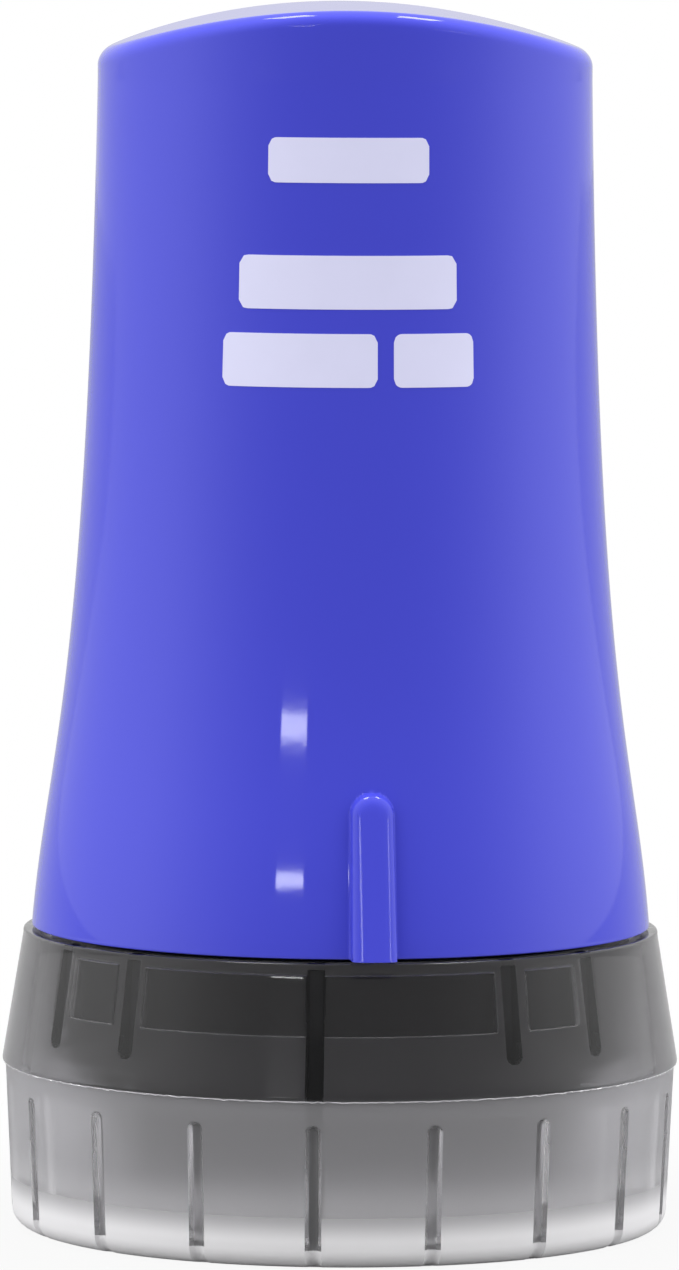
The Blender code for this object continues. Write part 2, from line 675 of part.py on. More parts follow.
def ink_spring(name, side, material):
    """A folded leaf spring that presses an ink bearing towards the print roller."""
    low = ink_axis + BEARING_HALF_HEIGHT + FIT + SPRING_THICKNESS / 2
    high = lid_foot - FIT - SPRING_THICKNESS / 2
    heights = np.linspace(low, high, SPRING_FOLDS + 1)
    reach = SPRING_HALF_WIDTH
    path = [(-reach, low), (reach, low)]
    path += [(reach if i % 2 else -reach, z) for i, z in enumerate(heights) if 0 < i < SPRING_FOLDS]
    path += [(-reach if path[-1][0] > 0 else reach, high), (path[-1][0], high)]
    half = CHEEK_THICKNESS / 2 - FIT / 2
    middle = side * (cheek_inside + cheek_outside) / 2
    bm = bmesh.new()
    rows = [[bm.verts.new((middle + dx, y, z)) for y, z in path] for dx in (-half, half)]
    for i in range(len(path) - 1):
        bm.faces.new((rows[0][i], rows[1][i], rows[1][i + 1], rows[0][i + 1]))
    mesh = bpy.data.meshes.new(name)
    bm.to_mesh(mesh)
    bm.free()
    spring = add_object(name, mesh, material)
    leaf = spring.modifiers.new("Leaf", "SOLIDIFY")
    leaf.thickness = SPRING_THICKNESS
    leaf.offset = 0.0
    leaf.use_even_offset = False
    return spring


def print_sleeve(material, parent):
    """The rubber sleeve: rows of small raised pads, staggered, that print a jumble of marks."""
    base = PRINT_RADIUS - RELIEF
    half = PRINT_WIDTH / 2
    step = PRINT_WIDTH / RELIEF_COLUMNS
    outside = [(base, half - i * step) for i in range(RELIEF_COLUMNS + 1)]
    profile = outside + [(sleeve_bore, -half), (sleeve_bore, half)]
    sleeve = applied(turned("print_sleeve", profile, material, RELIEF_ROWS))
    bm = bmesh.new()
    bm.from_mesh(sleeve.data)
    pads = []
    for face in bm.faces:
        centre = face.calc_center_median()
        radial = Vector((centre.x, centre.y, 0.0))
        outside = face.normal.dot(radial) > 0 and radial.length > (base + sleeve_bore) / 2
        if not outside or abs(face.normal.z) > 0.5:
            continue
        row = round(math.atan2(centre.y, centre.x) / math.tau * RELIEF_ROWS - 0.5)
        column = round((half - centre.z) / step - 0.5)
        if (row * RELIEF_STEPS[0] + column * RELIEF_STEPS[1]) % RELIEF_CYCLE in RELIEF_RAISED:
            pads.append(face)
    inset = RELIEF_INSET_SHARE * min(step, math.tau * base / RELIEF_ROWS)
    bmesh.ops.inset_individual(bm, faces=pads, thickness=inset)
    for face in bmesh.ops.extrude_discrete_faces(bm, faces=pads)["faces"]:
        for vert in face.verts:
            outward = Vector((vert.co.x, vert.co.y, 0.0)).normalized()
            vert.co += outward * RELIEF
    bm.to_mesh(sleeve.data)
    bm.free()
    return carry(sleeve, (0, 0, print_axis), parent, (0.0, math.pi / 2, 0.0))


def print_core_profile():
    """Half of a spool's section: a hub, a web in the middle and a rim, with a pocket in each end."""
    half = tyre_end
    floor = half - CORE_POCKET_DEPTH
    rim_inside = core_radius - RIM_WALL
    bore = AXLE_RADIUS + FIT
    upper = [(bore, half), (HUB_RADIUS, half), (HUB_RADIUS, floor), (rim_inside, floor)]
    upper += [(rim_inside, half), (core_radius, half)]
    return upper + [(r, -z) for r, z in upper[::-1]]


def bush_profile():
    """A flanged bush: the flange lies outside its cheek, the sleeve in the cheek's bore."""
    return [
        (bush_bore, bush_face),
        (bush_flange_radius, bush_face),
        (bush_flange_radius, cheek_outside + FIT),
        (bush_radius, cheek_outside + FIT),
        (bush_radius, cheek_inside),
        (bush_bore, cheek_inside),
    ]


def axle_clip(name, side, material, place, parent):
    """A wire clip that holds the axle endways, sprung round it beside the bush."""
    radius = AXLE_RADIUS + FIT + CLIP_WIRE
    curve = bpy.data.curves.new(name, "CURVE")
    curve.dimensions = "3D"
    curve.bevel_depth = CLIP_WIRE
    curve.bevel_resolution = 1
    curve.use_fill_caps = True
    spline = curve.splines.new("POLY")
    angles = np.linspace(CLIP_OPENING_SHARE, 2 - CLIP_OPENING_SHARE, CLIP_POINTS) * math.pi
    spline.points.add(len(angles) - 1)
    for point, a in zip(spline.points, angles):
        point.co = (0.0, radius * math.sin(a), radius * math.cos(a), 1.0)
    clip = bpy.data.objects.new(name, curve)
    bpy.data.collections[PARTS].objects.link(clip)
    curve.materials.append(material)
    return carry(clip, place + Vector((side * clip_place, 0, 0)), parent)


def main():
    clear_scene()
    smoke = finish("Smoke plastic", (108, 107, 110), 0.12, alpha=0.5)
    blue = finish("Blue plastic", (70, 71, 189), 0.28)
    black = finish("Black plastic", (32, 32, 34), 0.4)
    grey = finish("Grey plastic", (92, 94, 98), 0.45)
    white = finish("White bearing plastic", (214, 214, 208), 0.45)
    rubber = finish("Print rubber", (58, 54, 56), 0.7)
    tyre = finish("Tyre rubber", (24, 24, 26), 0.85)
    foam = finish("Ink foam", (18, 18, 30), 0.95)
    steel = finish("Steel", (178, 180, 184), 0.3, 1.0)

    cap_shell(smoke)
    cartridge = pivot("cartridge_slide", (0, 0, collar_foot))
    handle = pivot("handle_slide", (0, 0, handle_foot), cartridge)
    print_place = Vector((0, 0, print_axis))
    ink_place = Vector((0, 0, ink_axis))
    print_spin = pivot("print_spin", print_place, cartridge)
    ink_spin = pivot("ink_spin", ink_place, cartridge)

    carry(handle_shell(blue), (0, 0, 0), handle)
    carry(handle_dock(grey), (0, 0, 0), handle)
    carry(cartridge_collar(black), (0, 0, 0), cartridge)
    carry(ink_hood(black), (0, 0, 0), cartridge)
    carry(ink_lid(black), (0, 0, 0), cartridge)
    for side, word in ((-1, "left"), (1, "right")):
        carry(cheek(f"cheek_{word}", side, black), (0, 0, 0), cartridge)
        carry(ink_bearing(f"ink_bearing_{word}", side, white), (0, 0, 0), cartridge)
        carry(ink_spring(f"ink_spring_{word}", side, steel), (0, 0, 0), cartridge)
        bush = across(f"axle_bush_{word}", bush_profile(), white, print_place, cartridge, SMALL_FACETS)
        bush.rotation_euler.y = side * math.pi / 2

    print_sleeve(rubber, print_spin)
    across("print_core", print_core_profile(), grey, print_place, print_spin)
    middle = (tyre_start + tyre_end) / 2
    for side, word in ((-1, "left"), (1, "right")):
        place = print_place + Vector((side * middle, 0, 0))
        section = ring_profile(sleeve_bore, PRINT_RADIUS, TYRE_WIDTH / 2)
        across(f"drive_tyre_{word}", section, tyre, place, print_spin)
        axle_clip(f"axle_clip_{word}", side, steel, print_place, print_spin)
    rod = [(0.0, axle_end), (AXLE_RADIUS, axle_end), (AXLE_RADIUS, -axle_end), (0.0, -axle_end)]
    across("print_axle", rod, steel, print_place, print_spin, SMALL_FACETS)

    foam_half = PRINT_WIDTH / 2
    core_bore = INK_AXLE_RADIUS + FIT
    core_outside = FOAM_BORE - FIT
    flange_centre = foam_half + FIT + INK_FLANGE_THICKNESS / 2
    core_half = foam_half + 2 * FIT + INK_FLANGE_THICKNESS
    across("ink_foam", ring_profile(FOAM_BORE, INK_RADIUS, foam_half), foam, ink_place, ink_spin)
    section = ring_profile(core_bore, core_outside, core_half)
    across("ink_core", section, grey, ink_place, ink_spin, SMALL_FACETS)
    for side, word in ((-1, "left"), (1, "right")):
        place = ink_place + Vector((side * flange_centre, 0, 0))
        section = ring_profile(FOAM_BORE, INK_FLANGE_RADIUS, INK_FLANGE_THICKNESS / 2)
        across(f"ink_flange_{word}", section, grey, place, ink_spin)
    rod = [(0.0, cheek_outside), (INK_AXLE_RADIUS, cheek_outside)]
    rod += [(r, -z) for r, z in rod[::-1]]
    across("ink_axle", rod, steel, ink_place, ink_spin, SMALL_FACETS)


main()
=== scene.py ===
# %% [markdown]
# # A privacy roller stamp
#
# The real thing is a hand tool: a blue bell that fits the palm, a refill with an inked roller
# under it, and a smoke-grey cap that the stamp stands on. The mechanism is already packed as a
# frame of rigid solids. This script dresses that frame: it puts a finer surface over what the
# eye reaches, gives every part its finish, and sets up the table, the light and the camera.

import bmesh
import bpy
import numpy as np
from mathutils import Matrix, Quaternion, Vector


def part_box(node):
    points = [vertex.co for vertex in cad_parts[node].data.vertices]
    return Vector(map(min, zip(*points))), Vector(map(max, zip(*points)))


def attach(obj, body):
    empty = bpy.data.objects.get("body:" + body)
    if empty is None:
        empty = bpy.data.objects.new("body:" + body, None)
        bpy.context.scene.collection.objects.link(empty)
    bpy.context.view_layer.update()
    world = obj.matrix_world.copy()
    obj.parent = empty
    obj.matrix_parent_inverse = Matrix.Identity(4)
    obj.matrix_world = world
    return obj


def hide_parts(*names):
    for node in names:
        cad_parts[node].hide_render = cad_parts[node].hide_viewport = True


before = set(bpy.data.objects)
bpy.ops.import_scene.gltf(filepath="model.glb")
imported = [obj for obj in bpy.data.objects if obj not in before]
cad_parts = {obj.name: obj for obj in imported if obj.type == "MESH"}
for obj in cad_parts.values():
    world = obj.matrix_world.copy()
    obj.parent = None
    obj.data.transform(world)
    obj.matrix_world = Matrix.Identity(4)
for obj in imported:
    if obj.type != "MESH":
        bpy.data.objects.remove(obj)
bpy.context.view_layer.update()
MM = 0.001

# %% [markdown]
# ## Where things are
#
# A new surface has to sit exactly where its solid is, so the main heights and radii are read
# from the frame and not typed in. What a box can't tell, such as a wall's thickness, is named
# here once, in millimetres, as the solids have it.

# %% Read the main sizes from the frame
FIT = 0.3 * MM
bell_low, bell_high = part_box("handle_shell")
cap_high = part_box("cap_shell")[1]
collar_low, collar_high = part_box("cartridge_collar")
dock_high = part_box("handle_dock")[1]
sleeve_low, sleeve_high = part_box("print_sleeve")
foam_low, foam_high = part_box("ink_foam")

bell_foot, bell_crest = bell_low.z, bell_high.z
bell_foot_radius = bell_high.x
cap_height = cap_high.z
collar_radius = collar_high.x
print_axis = (sleeve_low.z + sleeve_high.z) / 2
print_radius = 9.5 * MM
ink_axis = (foam_low.z + foam_high.z) / 2
ink_radius = 6.2 * MM
roller_half = sleeve_high.x
FRONT = -np.pi / 2
print(f"bell {bell_foot * 1000:.1f} to {bell_crest * 1000:.1f} mm, cap {cap_height * 1000:.1f} mm tall")

# %% [markdown]
# ## Skins
#
# Nearly every part of the stamp is round or drawn along a line, so one helper makes them all.
# A skin is a stack of rings: each ring is a closed loop of points, and neighbouring rings are
# joined by four-sided faces. Its ends run to a point, get a flat cover, or join up with each
# other. This is how a lathe or a potter's wheel builds a wall, and it leaves no loose edges.

# %% A closed surface from rings of points
SMOOTH_UNDER = np.radians(40)


def skin(name, rings, ends="joined"):
    """A mesh object from an array of rings x points x 3.

    Point j of ring i is joined to point j + 1 and to ring i + 1. ends is "poles" where the first
    and last ring are single points, "flat" for flat covers, or "joined" where the last ring
    meets the first. If the volume inside comes out negative, all the faces are turned round.
    """
    rings = np.asarray(rings, dtype=float)
    count, around = rings.shape[:2]
    points = rings.reshape(-1, 3)
    index = np.arange(count * around).reshape(count, around)
    if ends == "poles":
        points = np.concatenate([rings[0, :1], rings[1:-1].reshape(-1, 3), rings[-1, :1]])
        index = index[: count - 2] + 1
    if ends == "joined":
        index = np.vstack([index, index[:1]])
    after = np.roll(index, -1, axis=1)
    faces = np.stack([index[:-1], index[1:], after[1:], after[:-1]], axis=-1).reshape(-1, 4).tolist()
    if ends == "poles":
        first, last = np.zeros(around, int), np.full(around, len(points) - 1)
        faces += np.stack([first, index[0], after[0]], axis=-1).tolist()
        faces += np.stack([last, after[-1], index[-1]], axis=-1).tolist()
    if ends == "flat":
        faces += [index[0].tolist(), index[-1, ::-1].tolist()]
    mesh = bpy.data.meshes.new(name)
    mesh.from_pydata(points.tolist(), [], faces)
    solid = bmesh.new()
    solid.from_mesh(mesh)
    if solid.calc_volume(signed=True) < 0:
        mesh.flip_normals()
    solid.free()
    mesh.shade_smooth()
    mesh.set_sharp_from_angle(angle=SMOOTH_UNDER)
    obj = bpy.data.objects.new(name, mesh)
    bpy.context.scene.collection.objects.link(obj)
    return obj


# %% Round off the corners of a section
def rounded(corners, radius, steps=4, closed=True):
    """The corners of a section with each one eased by a short curve.

    The curve through a corner c runs from a to b, which lie on its two sides a radius away, or
    halfway along where a side is short: (1 - s)^2 a + 2 s (1 - s) c + s^2 b, for s from 0 to 1.
    An open section keeps its two ends. corners may hold one section or one for each angle.
    """
    corners = np.asarray(corners, dtype=float)
    before, after = np.roll(corners, 1, axis=-2) - corners, np.roll(corners, -1, axis=-2) - corners
    long_before = np.linalg.norm(before, axis=-1, keepdims=True)
    long_after = np.linalg.norm(after, axis=-1, keepdims=True)
    reach = np.minimum(np.broadcast_to(np.asarray(radius, float), corners.shape[:-1])[..., None],
                       np.minimum(long_before, long_after) / 2)
    start = corners + before / np.maximum(long_before, 1e-9) * reach
    stop = corners + after / np.maximum(long_after, 1e-9) * reach
    s = np.linspace(0, 1, steps + 1)[:, None]
    curve = (1 - s) ** 2 * start[..., None, :] + 2 * s * (1 - s) * corners[..., None, :]
    curve = curve + s**2 * stop[..., None, :]
    curve = curve.reshape(*corners.shape[:-2], -1, 2)
    if closed:
        return curve
    middle = curve[..., steps + 1 : -(steps + 1), :]
    return np.concatenate([corners[..., :1, :], middle, corners[..., -1:, :]], axis=-2)


def circle(columns):
    """The angles of a full turn, evenly spaced: 2 pi j / columns for each column j."""
    return np.arange(columns) * 2 * np.pi / columns


# %% Turn a section about an axis
def lathe(name, section, columns=96, axis="Z", middle=0.0):
    """A turned piece. Each point (radius, height) of the section makes the ring of points
    radius * (cos a, sin a) at that height, about Z or about a line along X at the height middle."""
    section = np.asarray(section, dtype=float)
    angle = circle(columns)
    across, up = section[:, :1] * np.cos(angle), section[:, :1] * np.sin(angle)
    along = np.broadcast_to(section[:, 1:], across.shape)
    rings = [across, up, along] if axis == "Z" else [along, across, up + middle]
    on_axis = section[0, 0] == 0 and section[-1, 0] == 0
    return skin(name, np.stack(rings, axis=-1), "poles" if on_axis else "joined")


# %% [markdown]
# ## Finishes
#
# A moulded plastic is never one flat colour: it drifts a little where the melt flowed, and its
# skin has a very fine grain that breaks up the light. Each finish is a Principled shader with
# its constant values set on the shader itself, and noise on the Object coordinates for the
# drift and the grain. Object coordinates stay put when the stamp is turned or taken apart.

# %% A Principled finish with drift and grain
def light(red, green, blue):
    """A screen colour from 0 to 255 as the linear values that a shader takes."""
    screen = np.array([red, green, blue]) / 255
    linear = np.where(screen <= 0.04045, screen / 12.92, ((screen + 0.055) / 1.055) ** 2.4)
    return (*linear.tolist(), 1.0)


def finish(name, colour, roughness, drift=0.0, drift_size=8 * MM, grain=0.0, grain_size=0.3 * MM, **values):
    """A material with a Principled shader. drift is the share by which the colour wanders over
    drift_size, and grain the height in metres of the bumps, which are grain_size across."""
    material = bpy.data.materials.new(name)
    material.use_nodes = True
    nodes, links = material.node_tree.nodes, material.node_tree.links
    shader = nodes["Principled BSDF"]
    shader.inputs["Base Color"].default_value = light(*colour)
    shader.inputs["Roughness"].default_value = roughness
    for socket, value in values.items():
        shader.inputs[socket.replace("_", " ")].default_value = value
    place = nodes.new("ShaderNodeTexCoord")
    if drift:
        cloud = nodes.new("ShaderNodeTexNoise")
        cloud.inputs["Scale"].default_value = 1 / drift_size
        cloud.inputs["Detail"].default_value = 3
        shade = nodes.new("ShaderNodeMix")
        shade.data_type = "RGBA"
        dark, pale = np.array(light(*colour)) * (1 - drift), np.array(light(*colour)) * (1 + drift)
        shade.inputs["A"].default_value = (*dark[:3], 1)
        shade.inputs["B"].default_value = (*np.minimum(pale[:3], 1), 1)
        links.new(place.outputs["Object"], cloud.inputs["Vector"])
        links.new(cloud.outputs["Fac"], shade.inputs["Factor"])
        links.new(shade.outputs["Result"], shader.inputs["Base Color"])
    if grain:
        spots = nodes.new("ShaderNodeTexNoise")
        spots.inputs["Scale"].default_value = 1 / grain_size
        spots.inputs["Detail"].default_value = 2
        bump = nodes.new("ShaderNodeBump")
        bump.inputs["Distance"].default_value = grain
        links.new(place.outputs["Object"], spots.inputs["Vector"])
        links.new(spots.outputs["Fac"], bump.inputs["Height"])
        links.new(bump.outputs["Normal"], shader.inputs["Normal"])
    return material


# %% The stamp's plastics, rubbers, foam and steel
SMOKE_IOR = 1.49


def smoke_finish(name, colour, roughness, clear):
    """One surface of the smoke plastic. clear is the share of its light that goes through it."""
    return finish(name, colour, roughness, IOR=SMOKE_IOR, Transmission_Weight=clear)


blue = finish("Blue plastic", (68, 72, 205), 0.045, 0.03, 20 * MM, 0.0015 * MM, 1.2 * MM, IOR=1.5)
black = finish("Black plastic", (30, 30, 32), 0.32, 0.1, 6 * MM, 0.01 * MM, 0.25 * MM)
grey = finish("Grey plastic", (92, 94, 98), 0.42, 0.06, 6 * MM, 0.01 * MM, 0.3 * MM)
white = finish("Bearing plastic", (214, 214, 208), 0.4, 0.04, 3 * MM, 0.006 * MM, 0.2 * MM)
rubber = finish("Print rubber", (56, 50, 60), 0.62, 0.16, 2 * MM, 0.02 * MM, 0.2 * MM)
tyre = finish("Tyre rubber", (26, 26, 28), 0.8, 0.12, 1 * MM, 0.03 * MM, 0.15 * MM)
steel = finish("Steel", (184, 186, 190), 0.26, 0.05, 1 * MM, 0.004 * MM, 0.1 * MM, Metallic=1.0)
foam = finish("Ink foam", (20, 19, 34), 0.9, 0.35, 0.5 * MM, 0.12 * MM, 0.35 * MM)
smoke = smoke_finish("Smoke plastic, clear", (236, 235, 238), 0.03, 1.0)
frost = smoke_finish("Smoke plastic, frosted", (250, 249, 252), 0.42, 0.74)
# painted light: a pale, mostly opaque finish at the foot, for the white table shining up into the cap
painted_light_frost = smoke_finish("Smoke plastic, frosted base", (252, 251, 253), 0.45, 0.2)
groove_smoke = smoke_finish("Smoke plastic, in the grooves", (222, 221, 224), 0.3, 0.85)
# painted shade: the upper band's tint is darker than the lower band's, for a wall seen against the black
# collar
painted_shade_smoke = smoke_finish("Smoke plastic, upper band", (164, 163, 166), 0.05, 1.0)
haze = smoke_finish("Smoke plastic, hazy", (206, 205, 208), 0.28, 0.88)
# painted shade: the clear ribs get an opaque dark finish, where the dark inside behind them only makes them
# look dark
painted_shade_rib = finish("Smoke plastic, at the ribs", (50, 50, 52), 0.6, IOR=1.2)
# painted highlight: the grooves' sides are paler than their middle
painted_highlight_groove_side = smoke_finish("Smoke plastic, sides of the grooves", (240, 239, 242), 0.24, 0.82)
thread = smoke_finish("Smoke plastic, torn edge", (240, 239, 243), 0.35, 0.5)
pale = finish("Pale print", (221, 221, 250), 0.45, 0.02, 3 * MM)
print("finishes:", len(bpy.data.materials))


# %% Let a finish fade with the height
def fade(material, high_colour, low, high):
    """Lets the colour of a finish run with the height z from its own colour at low and under it to
    the high colour at high: it is a + (b - a) (3 s^2 - 2 s^3), where s = (z - low) / (high - low)."""
    nodes, links = material.node_tree.nodes, material.node_tree.links
    colour = nodes["Principled BSDF"].inputs["Base Color"]
    place, parts = nodes.new("ShaderNodeTexCoord"), nodes.new("ShaderNodeSeparateXYZ")
    share, mix = nodes.new("ShaderNodeMapRange"), nodes.new("ShaderNodeMix")
    share.interpolation_type = "SMOOTHSTEP"
    share.inputs["From Min"].default_value = low
    share.inputs["From Max"].default_value = high
    mix.data_type = "RGBA"
    mix.inputs["A"].default_value = colour.default_value
    mix.inputs["B"].default_value = light(*high_colour)
    links.new(place.outputs["Object"], parts.inputs[0])
    links.new(parts.outputs["Z"], share.inputs["Value"])
    links.new(share.outputs["Result"], mix.inputs["Factor"])
    links.new(mix.outputs["Result"], colour)


# %% Hang a finished piece on its body
def dress(obj, body, nodes, slot, *materials):
    """Gives a piece its finishes and its body, and hides the CAD nodes it stands for. slot is not used."""
    for material in materials:
        obj.data.materials.append(material)
    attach(obj, body)
    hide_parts(*nodes)
    print(obj.name, "on", body, "stands for", ", ".join(nodes), "with", len(obj.data.polygons), "faces")
    return obj


# %% [markdown]
# ## The bell
#
# The handle is a hollow moulding like a small bell. Its flank is one smooth curve that flares
# to the foot, so a single Bezier curve draws it. The crown is arched from left to right and
# runs straight from front to back, as if cut from a wide pipe. A turned surface comes first,
# and then its crown is bent down by the arch and its foot pushed out where the thumb rib is.

# %% The flank as one curve
CROWN_SHARE = 0.796
FLANK = np.array([(1.0, 0.0), (0.765, 0.211), (0.164, 0.25), (0.0, 1.0)])
CROWN_ROUND = 1.2 * MM
ARCH_RADIUS, ARCH_TURN = 58.5 * MM, np.radians(-5)
crown_radius = bell_foot_radius * CROWN_SHARE


def arch_drop(x, y=0.0):
    """How far the arch lies under its top: R - sqrt(R^2 - s^2), where s is the distance from the
    arch's middle line, which is turned a little from the stamp's own: s = x cos t + y sin t."""
    aside = x * np.cos(ARCH_TURN) + y * np.sin(ARCH_TURN)
    return ARCH_RADIUS - np.sqrt(ARCH_RADIUS**2 - aside**2)


flank_top = bell_crest - (ARCH_RADIUS - np.sqrt(ARCH_RADIUS**2 - crown_radius**2)) - 2 * CROWN_ROUND


def flank_radius(height):
    """The bell's outer radius. The Bezier curve (1-t)^3 a + 3 t (1-t)^2 b + 3 t^2 (1-t) c + t^3 d
    is worked out at many t, and the radius is read from it at the height asked for."""
    t = np.linspace(0, 1, 400)[:, None]
    a, b, c, d = FLANK
    share = (1 - t) ** 3 * a + 3 * t * (1 - t) ** 2 * b + 3 * t**2 * (1 - t) * c + t**3 * d
    radius = crown_radius + share[:, 0] * (bell_foot_radius - crown_radius)
    return np.interp(height, bell_foot + share[:, 1] * (flank_top - bell_foot), radius)


print(f"flank radius at mid height {flank_radius(62 * MM) * 1000:.2f} mm")

# %% [markdown]
# The thumb rib is a bar with a round head that stands out of the flank in front. A separate bar
# would need a seam, so the flank itself is pushed out: a mask is one inside the rib's outline and
# fades to nothing over a fifth of a millimetre, and the flank moves by the mask towards the rib's
# face. That leaves the small fillet that a moulding has.

# %% The thumb rib as a push of the flank
RIB_HEIGHT, RIB_FOOT_HALF, RIB_TOP_HALF = 13.5 * MM, 1.83 * MM, 1.73 * MM
RIB_FOOT_REACH, RIB_TOP_REACH, RIB_BELLY = 2.1 * MM, 1.1 * MM, 0.55 * MM
RIB_EDGE = 0.2 * MM


def smoothstep(value):
    """0 below 0, 1 above 1 and 3 v^2 - 2 v^3 between."""
    value = np.clip(value, 0, 1)
    return value * value * (3 - 2 * value)


def rib_push(radius, angle, height):
    """How far the thumb rib pushes a point of the flank out."""
    aside = radius * np.sin(angle - FRONT)
    rise = height - bell_foot
    head = RIB_HEIGHT - RIB_TOP_HALF
    half = RIB_FOOT_HALF + (RIB_TOP_HALF - RIB_FOOT_HALF) * np.clip(rise / head, 0, 1)
    outside = np.hypot(aside, np.maximum(rise - head, 0)) - half
    mask = smoothstep(0.5 - outside / RIB_EDGE) * (np.cos(angle - FRONT) > 0)
    foot_face = bell_foot_radius + RIB_FOOT_REACH
    top_face = flank_radius(bell_foot + RIB_HEIGHT) + RIB_TOP_REACH
    face = foot_face + (top_face - foot_face) * rise / RIB_HEIGHT
    face = face - RIB_BELLY * np.clip(np.hypot(aside, np.maximum(rise - head, 0)) / half, 0, 1) ** 4
    return mask * (face - radius)


# %% The bell's section, from the crown down its outside and up its inside
BELL_WALL, DOCK_STEP, CEILING = 1.8 * MM, 0.8 * MM, 2.0 * MM
PLUG_HEIGHT, FOOT_EDGE = 4.5 * MM, 0.2 * MM
FINE_ZONE = 15 * MM  # from the foot up past the thumb rib, where the rows lie close
plug_bore = bell_foot_radius - BELL_WALL
plug_seat = bell_foot + PLUG_HEIGHT + FIT
dock_step = dock_high.z + FIT


def spaced(start, stop, step):
    """Values from start to stop, both included, about a step apart."""
    return np.linspace(start, stop, max(2, int(round(abs(stop - start) / step)) + 1))


crown_edge = crown_radius - CROWN_ROUND
crown_bend = np.radians(np.linspace(90, 0, 11))[1:]
top = [(r, bell_crest) for r in np.linspace(0, crown_edge, 22)]
top += [(crown_edge + CROWN_ROUND * np.cos(a), bell_crest - CROWN_ROUND + CROWN_ROUND * np.sin(a))
        for a in crown_bend]
above = spaced(bell_crest - CROWN_ROUND, flank_top, 0.6 * MM)[1:]
flank = np.concatenate([above, spaced(flank_top, bell_foot + FINE_ZONE, 0.9 * MM)[1:]])
flank = np.concatenate([flank, spaced(bell_foot + FINE_ZONE, bell_foot + FOOT_EDGE, 0.16 * MM)[1:]])
outside = np.array(top + [(flank_radius(min(z, flank_top)), z) for z in flank])
foot_corners = [(bell_foot_radius, bell_foot + FOOT_EDGE), (bell_foot_radius, bell_foot)]
foot_corners += [(plug_bore, bell_foot), (plug_bore, plug_seat)]
foot_corners += [(flank_radius(plug_seat) - BELL_WALL, plug_seat)]
foot = rounded(foot_corners, 0.15 * MM, 3, closed=False)[1:]
low_wall = [(flank_radius(z) - BELL_WALL, z) for z in spaced(plug_seat, dock_step, 1.2 * MM)[1:]]
high_wall = [(flank_radius(z) - BELL_WALL - DOCK_STEP, z) for z in spaced(dock_step, flank_top, 2.5 * MM)]
ceiling_edge = crown_radius - BELL_WALL - DOCK_STEP
ceiling = [(r, bell_crest - CEILING) for r in np.linspace(ceiling_edge, 0, 12)]
bell_section = np.concatenate([outside, foot, low_wall, high_wall, ceiling])
print("bell section:", len(bell_section), "points")

# %% Bend the crown, push out the rib and close the bell
rib_sector = np.radians(np.arange(-6.6, 6.61, 0.22)) + FRONT
bell_angles = np.unique(np.round(np.mod(np.concatenate([circle(120) + FRONT, rib_sector]), 2 * np.pi), 5))
radius = np.repeat(bell_section[:, :1], len(bell_angles), axis=1)
height = np.repeat(bell_section[:, 1:], len(bell_angles), axis=1)
outer_rows = np.arange(len(bell_section))[:, None] < len(outside) + 4
low_rows = height < bell_foot + FINE_ZONE + MM
radius = radius + np.where(outer_rows & low_rows, rib_push(radius, bell_angles, height), 0)
x, y = radius * np.cos(bell_angles), radius * np.sin(bell_angles)
bend = np.clip((height - flank_top) / (bell_crest - CROWN_ROUND - flank_top), 0, 1)
bell = skin("bell", np.stack([x, y, height - bend * arch_drop(x, y)], axis=-1), "poles")
dress(bell, "handle", ["handle_shell"], "blue_plastic", blue)

# %% [markdown]
# ## The print on the bell
#
# The upper half of the real bell is printed in a pale tint, in three rows. Here the rows are
# plain bars, like words that a stamp has masked. Each bar is a skin of ink: a thin slab that
# is carried along the bell's curve, so that it lies on the flank from every side.

# %% Bars of pale ink
INK_LIFT, INK_SINK = 0.035 * MM, 0.05 * MM
PRINT_TURN = np.radians(-5.9)


def ink_bar(name, middle, height, width, tall, corner=0.7 * MM):
    """A bar on the flank. At a place x along it, the bar reaches up and down by its half height,
    less rho - sqrt(rho^2 - d^2) within a corner's radius rho of its ends, d past the corner's start."""
    along = np.linspace(-width / 2, width / 2, 48)
    past = np.clip(np.abs(along) - (width / 2 - corner), 0, corner)
    reach = tall / 2 - corner + np.sqrt(np.maximum(corner**2 - past**2, 0))
    up = np.concatenate([[-1], np.linspace(-1, 1, 9), [1], np.linspace(1, -1, 9)[1:-1]])
    lift = np.concatenate([[-INK_SINK], np.full(9, INK_LIFT), [-INK_SINK], np.full(7, -INK_SINK)])
    z = height + reach[:, None] * up
    r = flank_radius(z) + lift
    angle = FRONT + PRINT_TURN + (middle + along[:, None]) / flank_radius(height)
    return skin(name, np.stack([r * np.cos(angle), r * np.sin(angle), z], axis=-1), "flat")


PRINT_ROWS = [("print_row_1", 0.35, 90.6, 13.4, 3.7), ("print_row_2", 0.35, 80.6, 18.4, 4.4)]
PRINT_ROWS += [("print_row_3a", -3.75, 74.2, 13.1, 4.4), ("print_row_3b", 7.65, 74.2, 7.0, 4.4)]
for name, middle, height_mm, width, tall in PRINT_ROWS:
    bar = ink_bar(name, middle * MM, height_mm * MM, width * MM, tall * MM)
    bar.data.materials.append(pale)
    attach(bar, "handle")
    print(name, "laid on the flank")

# %% [markdown]
# ## The cap
#
# The cap is one see-through moulding. Outside, a flared band meets a lower band at a shoulder,
# and seventeen long grooves give a grip. Inside, ribs hold the collar and shallow pockets
# sit between them. All of it is one grid of angle and path: the path runs from the middle of
# the cap's floor up the inner wall, over the rim and down outside. Where a groove, rib or
# pocket is, the radius of the grid is moved, and the grid's lines crowd together there.

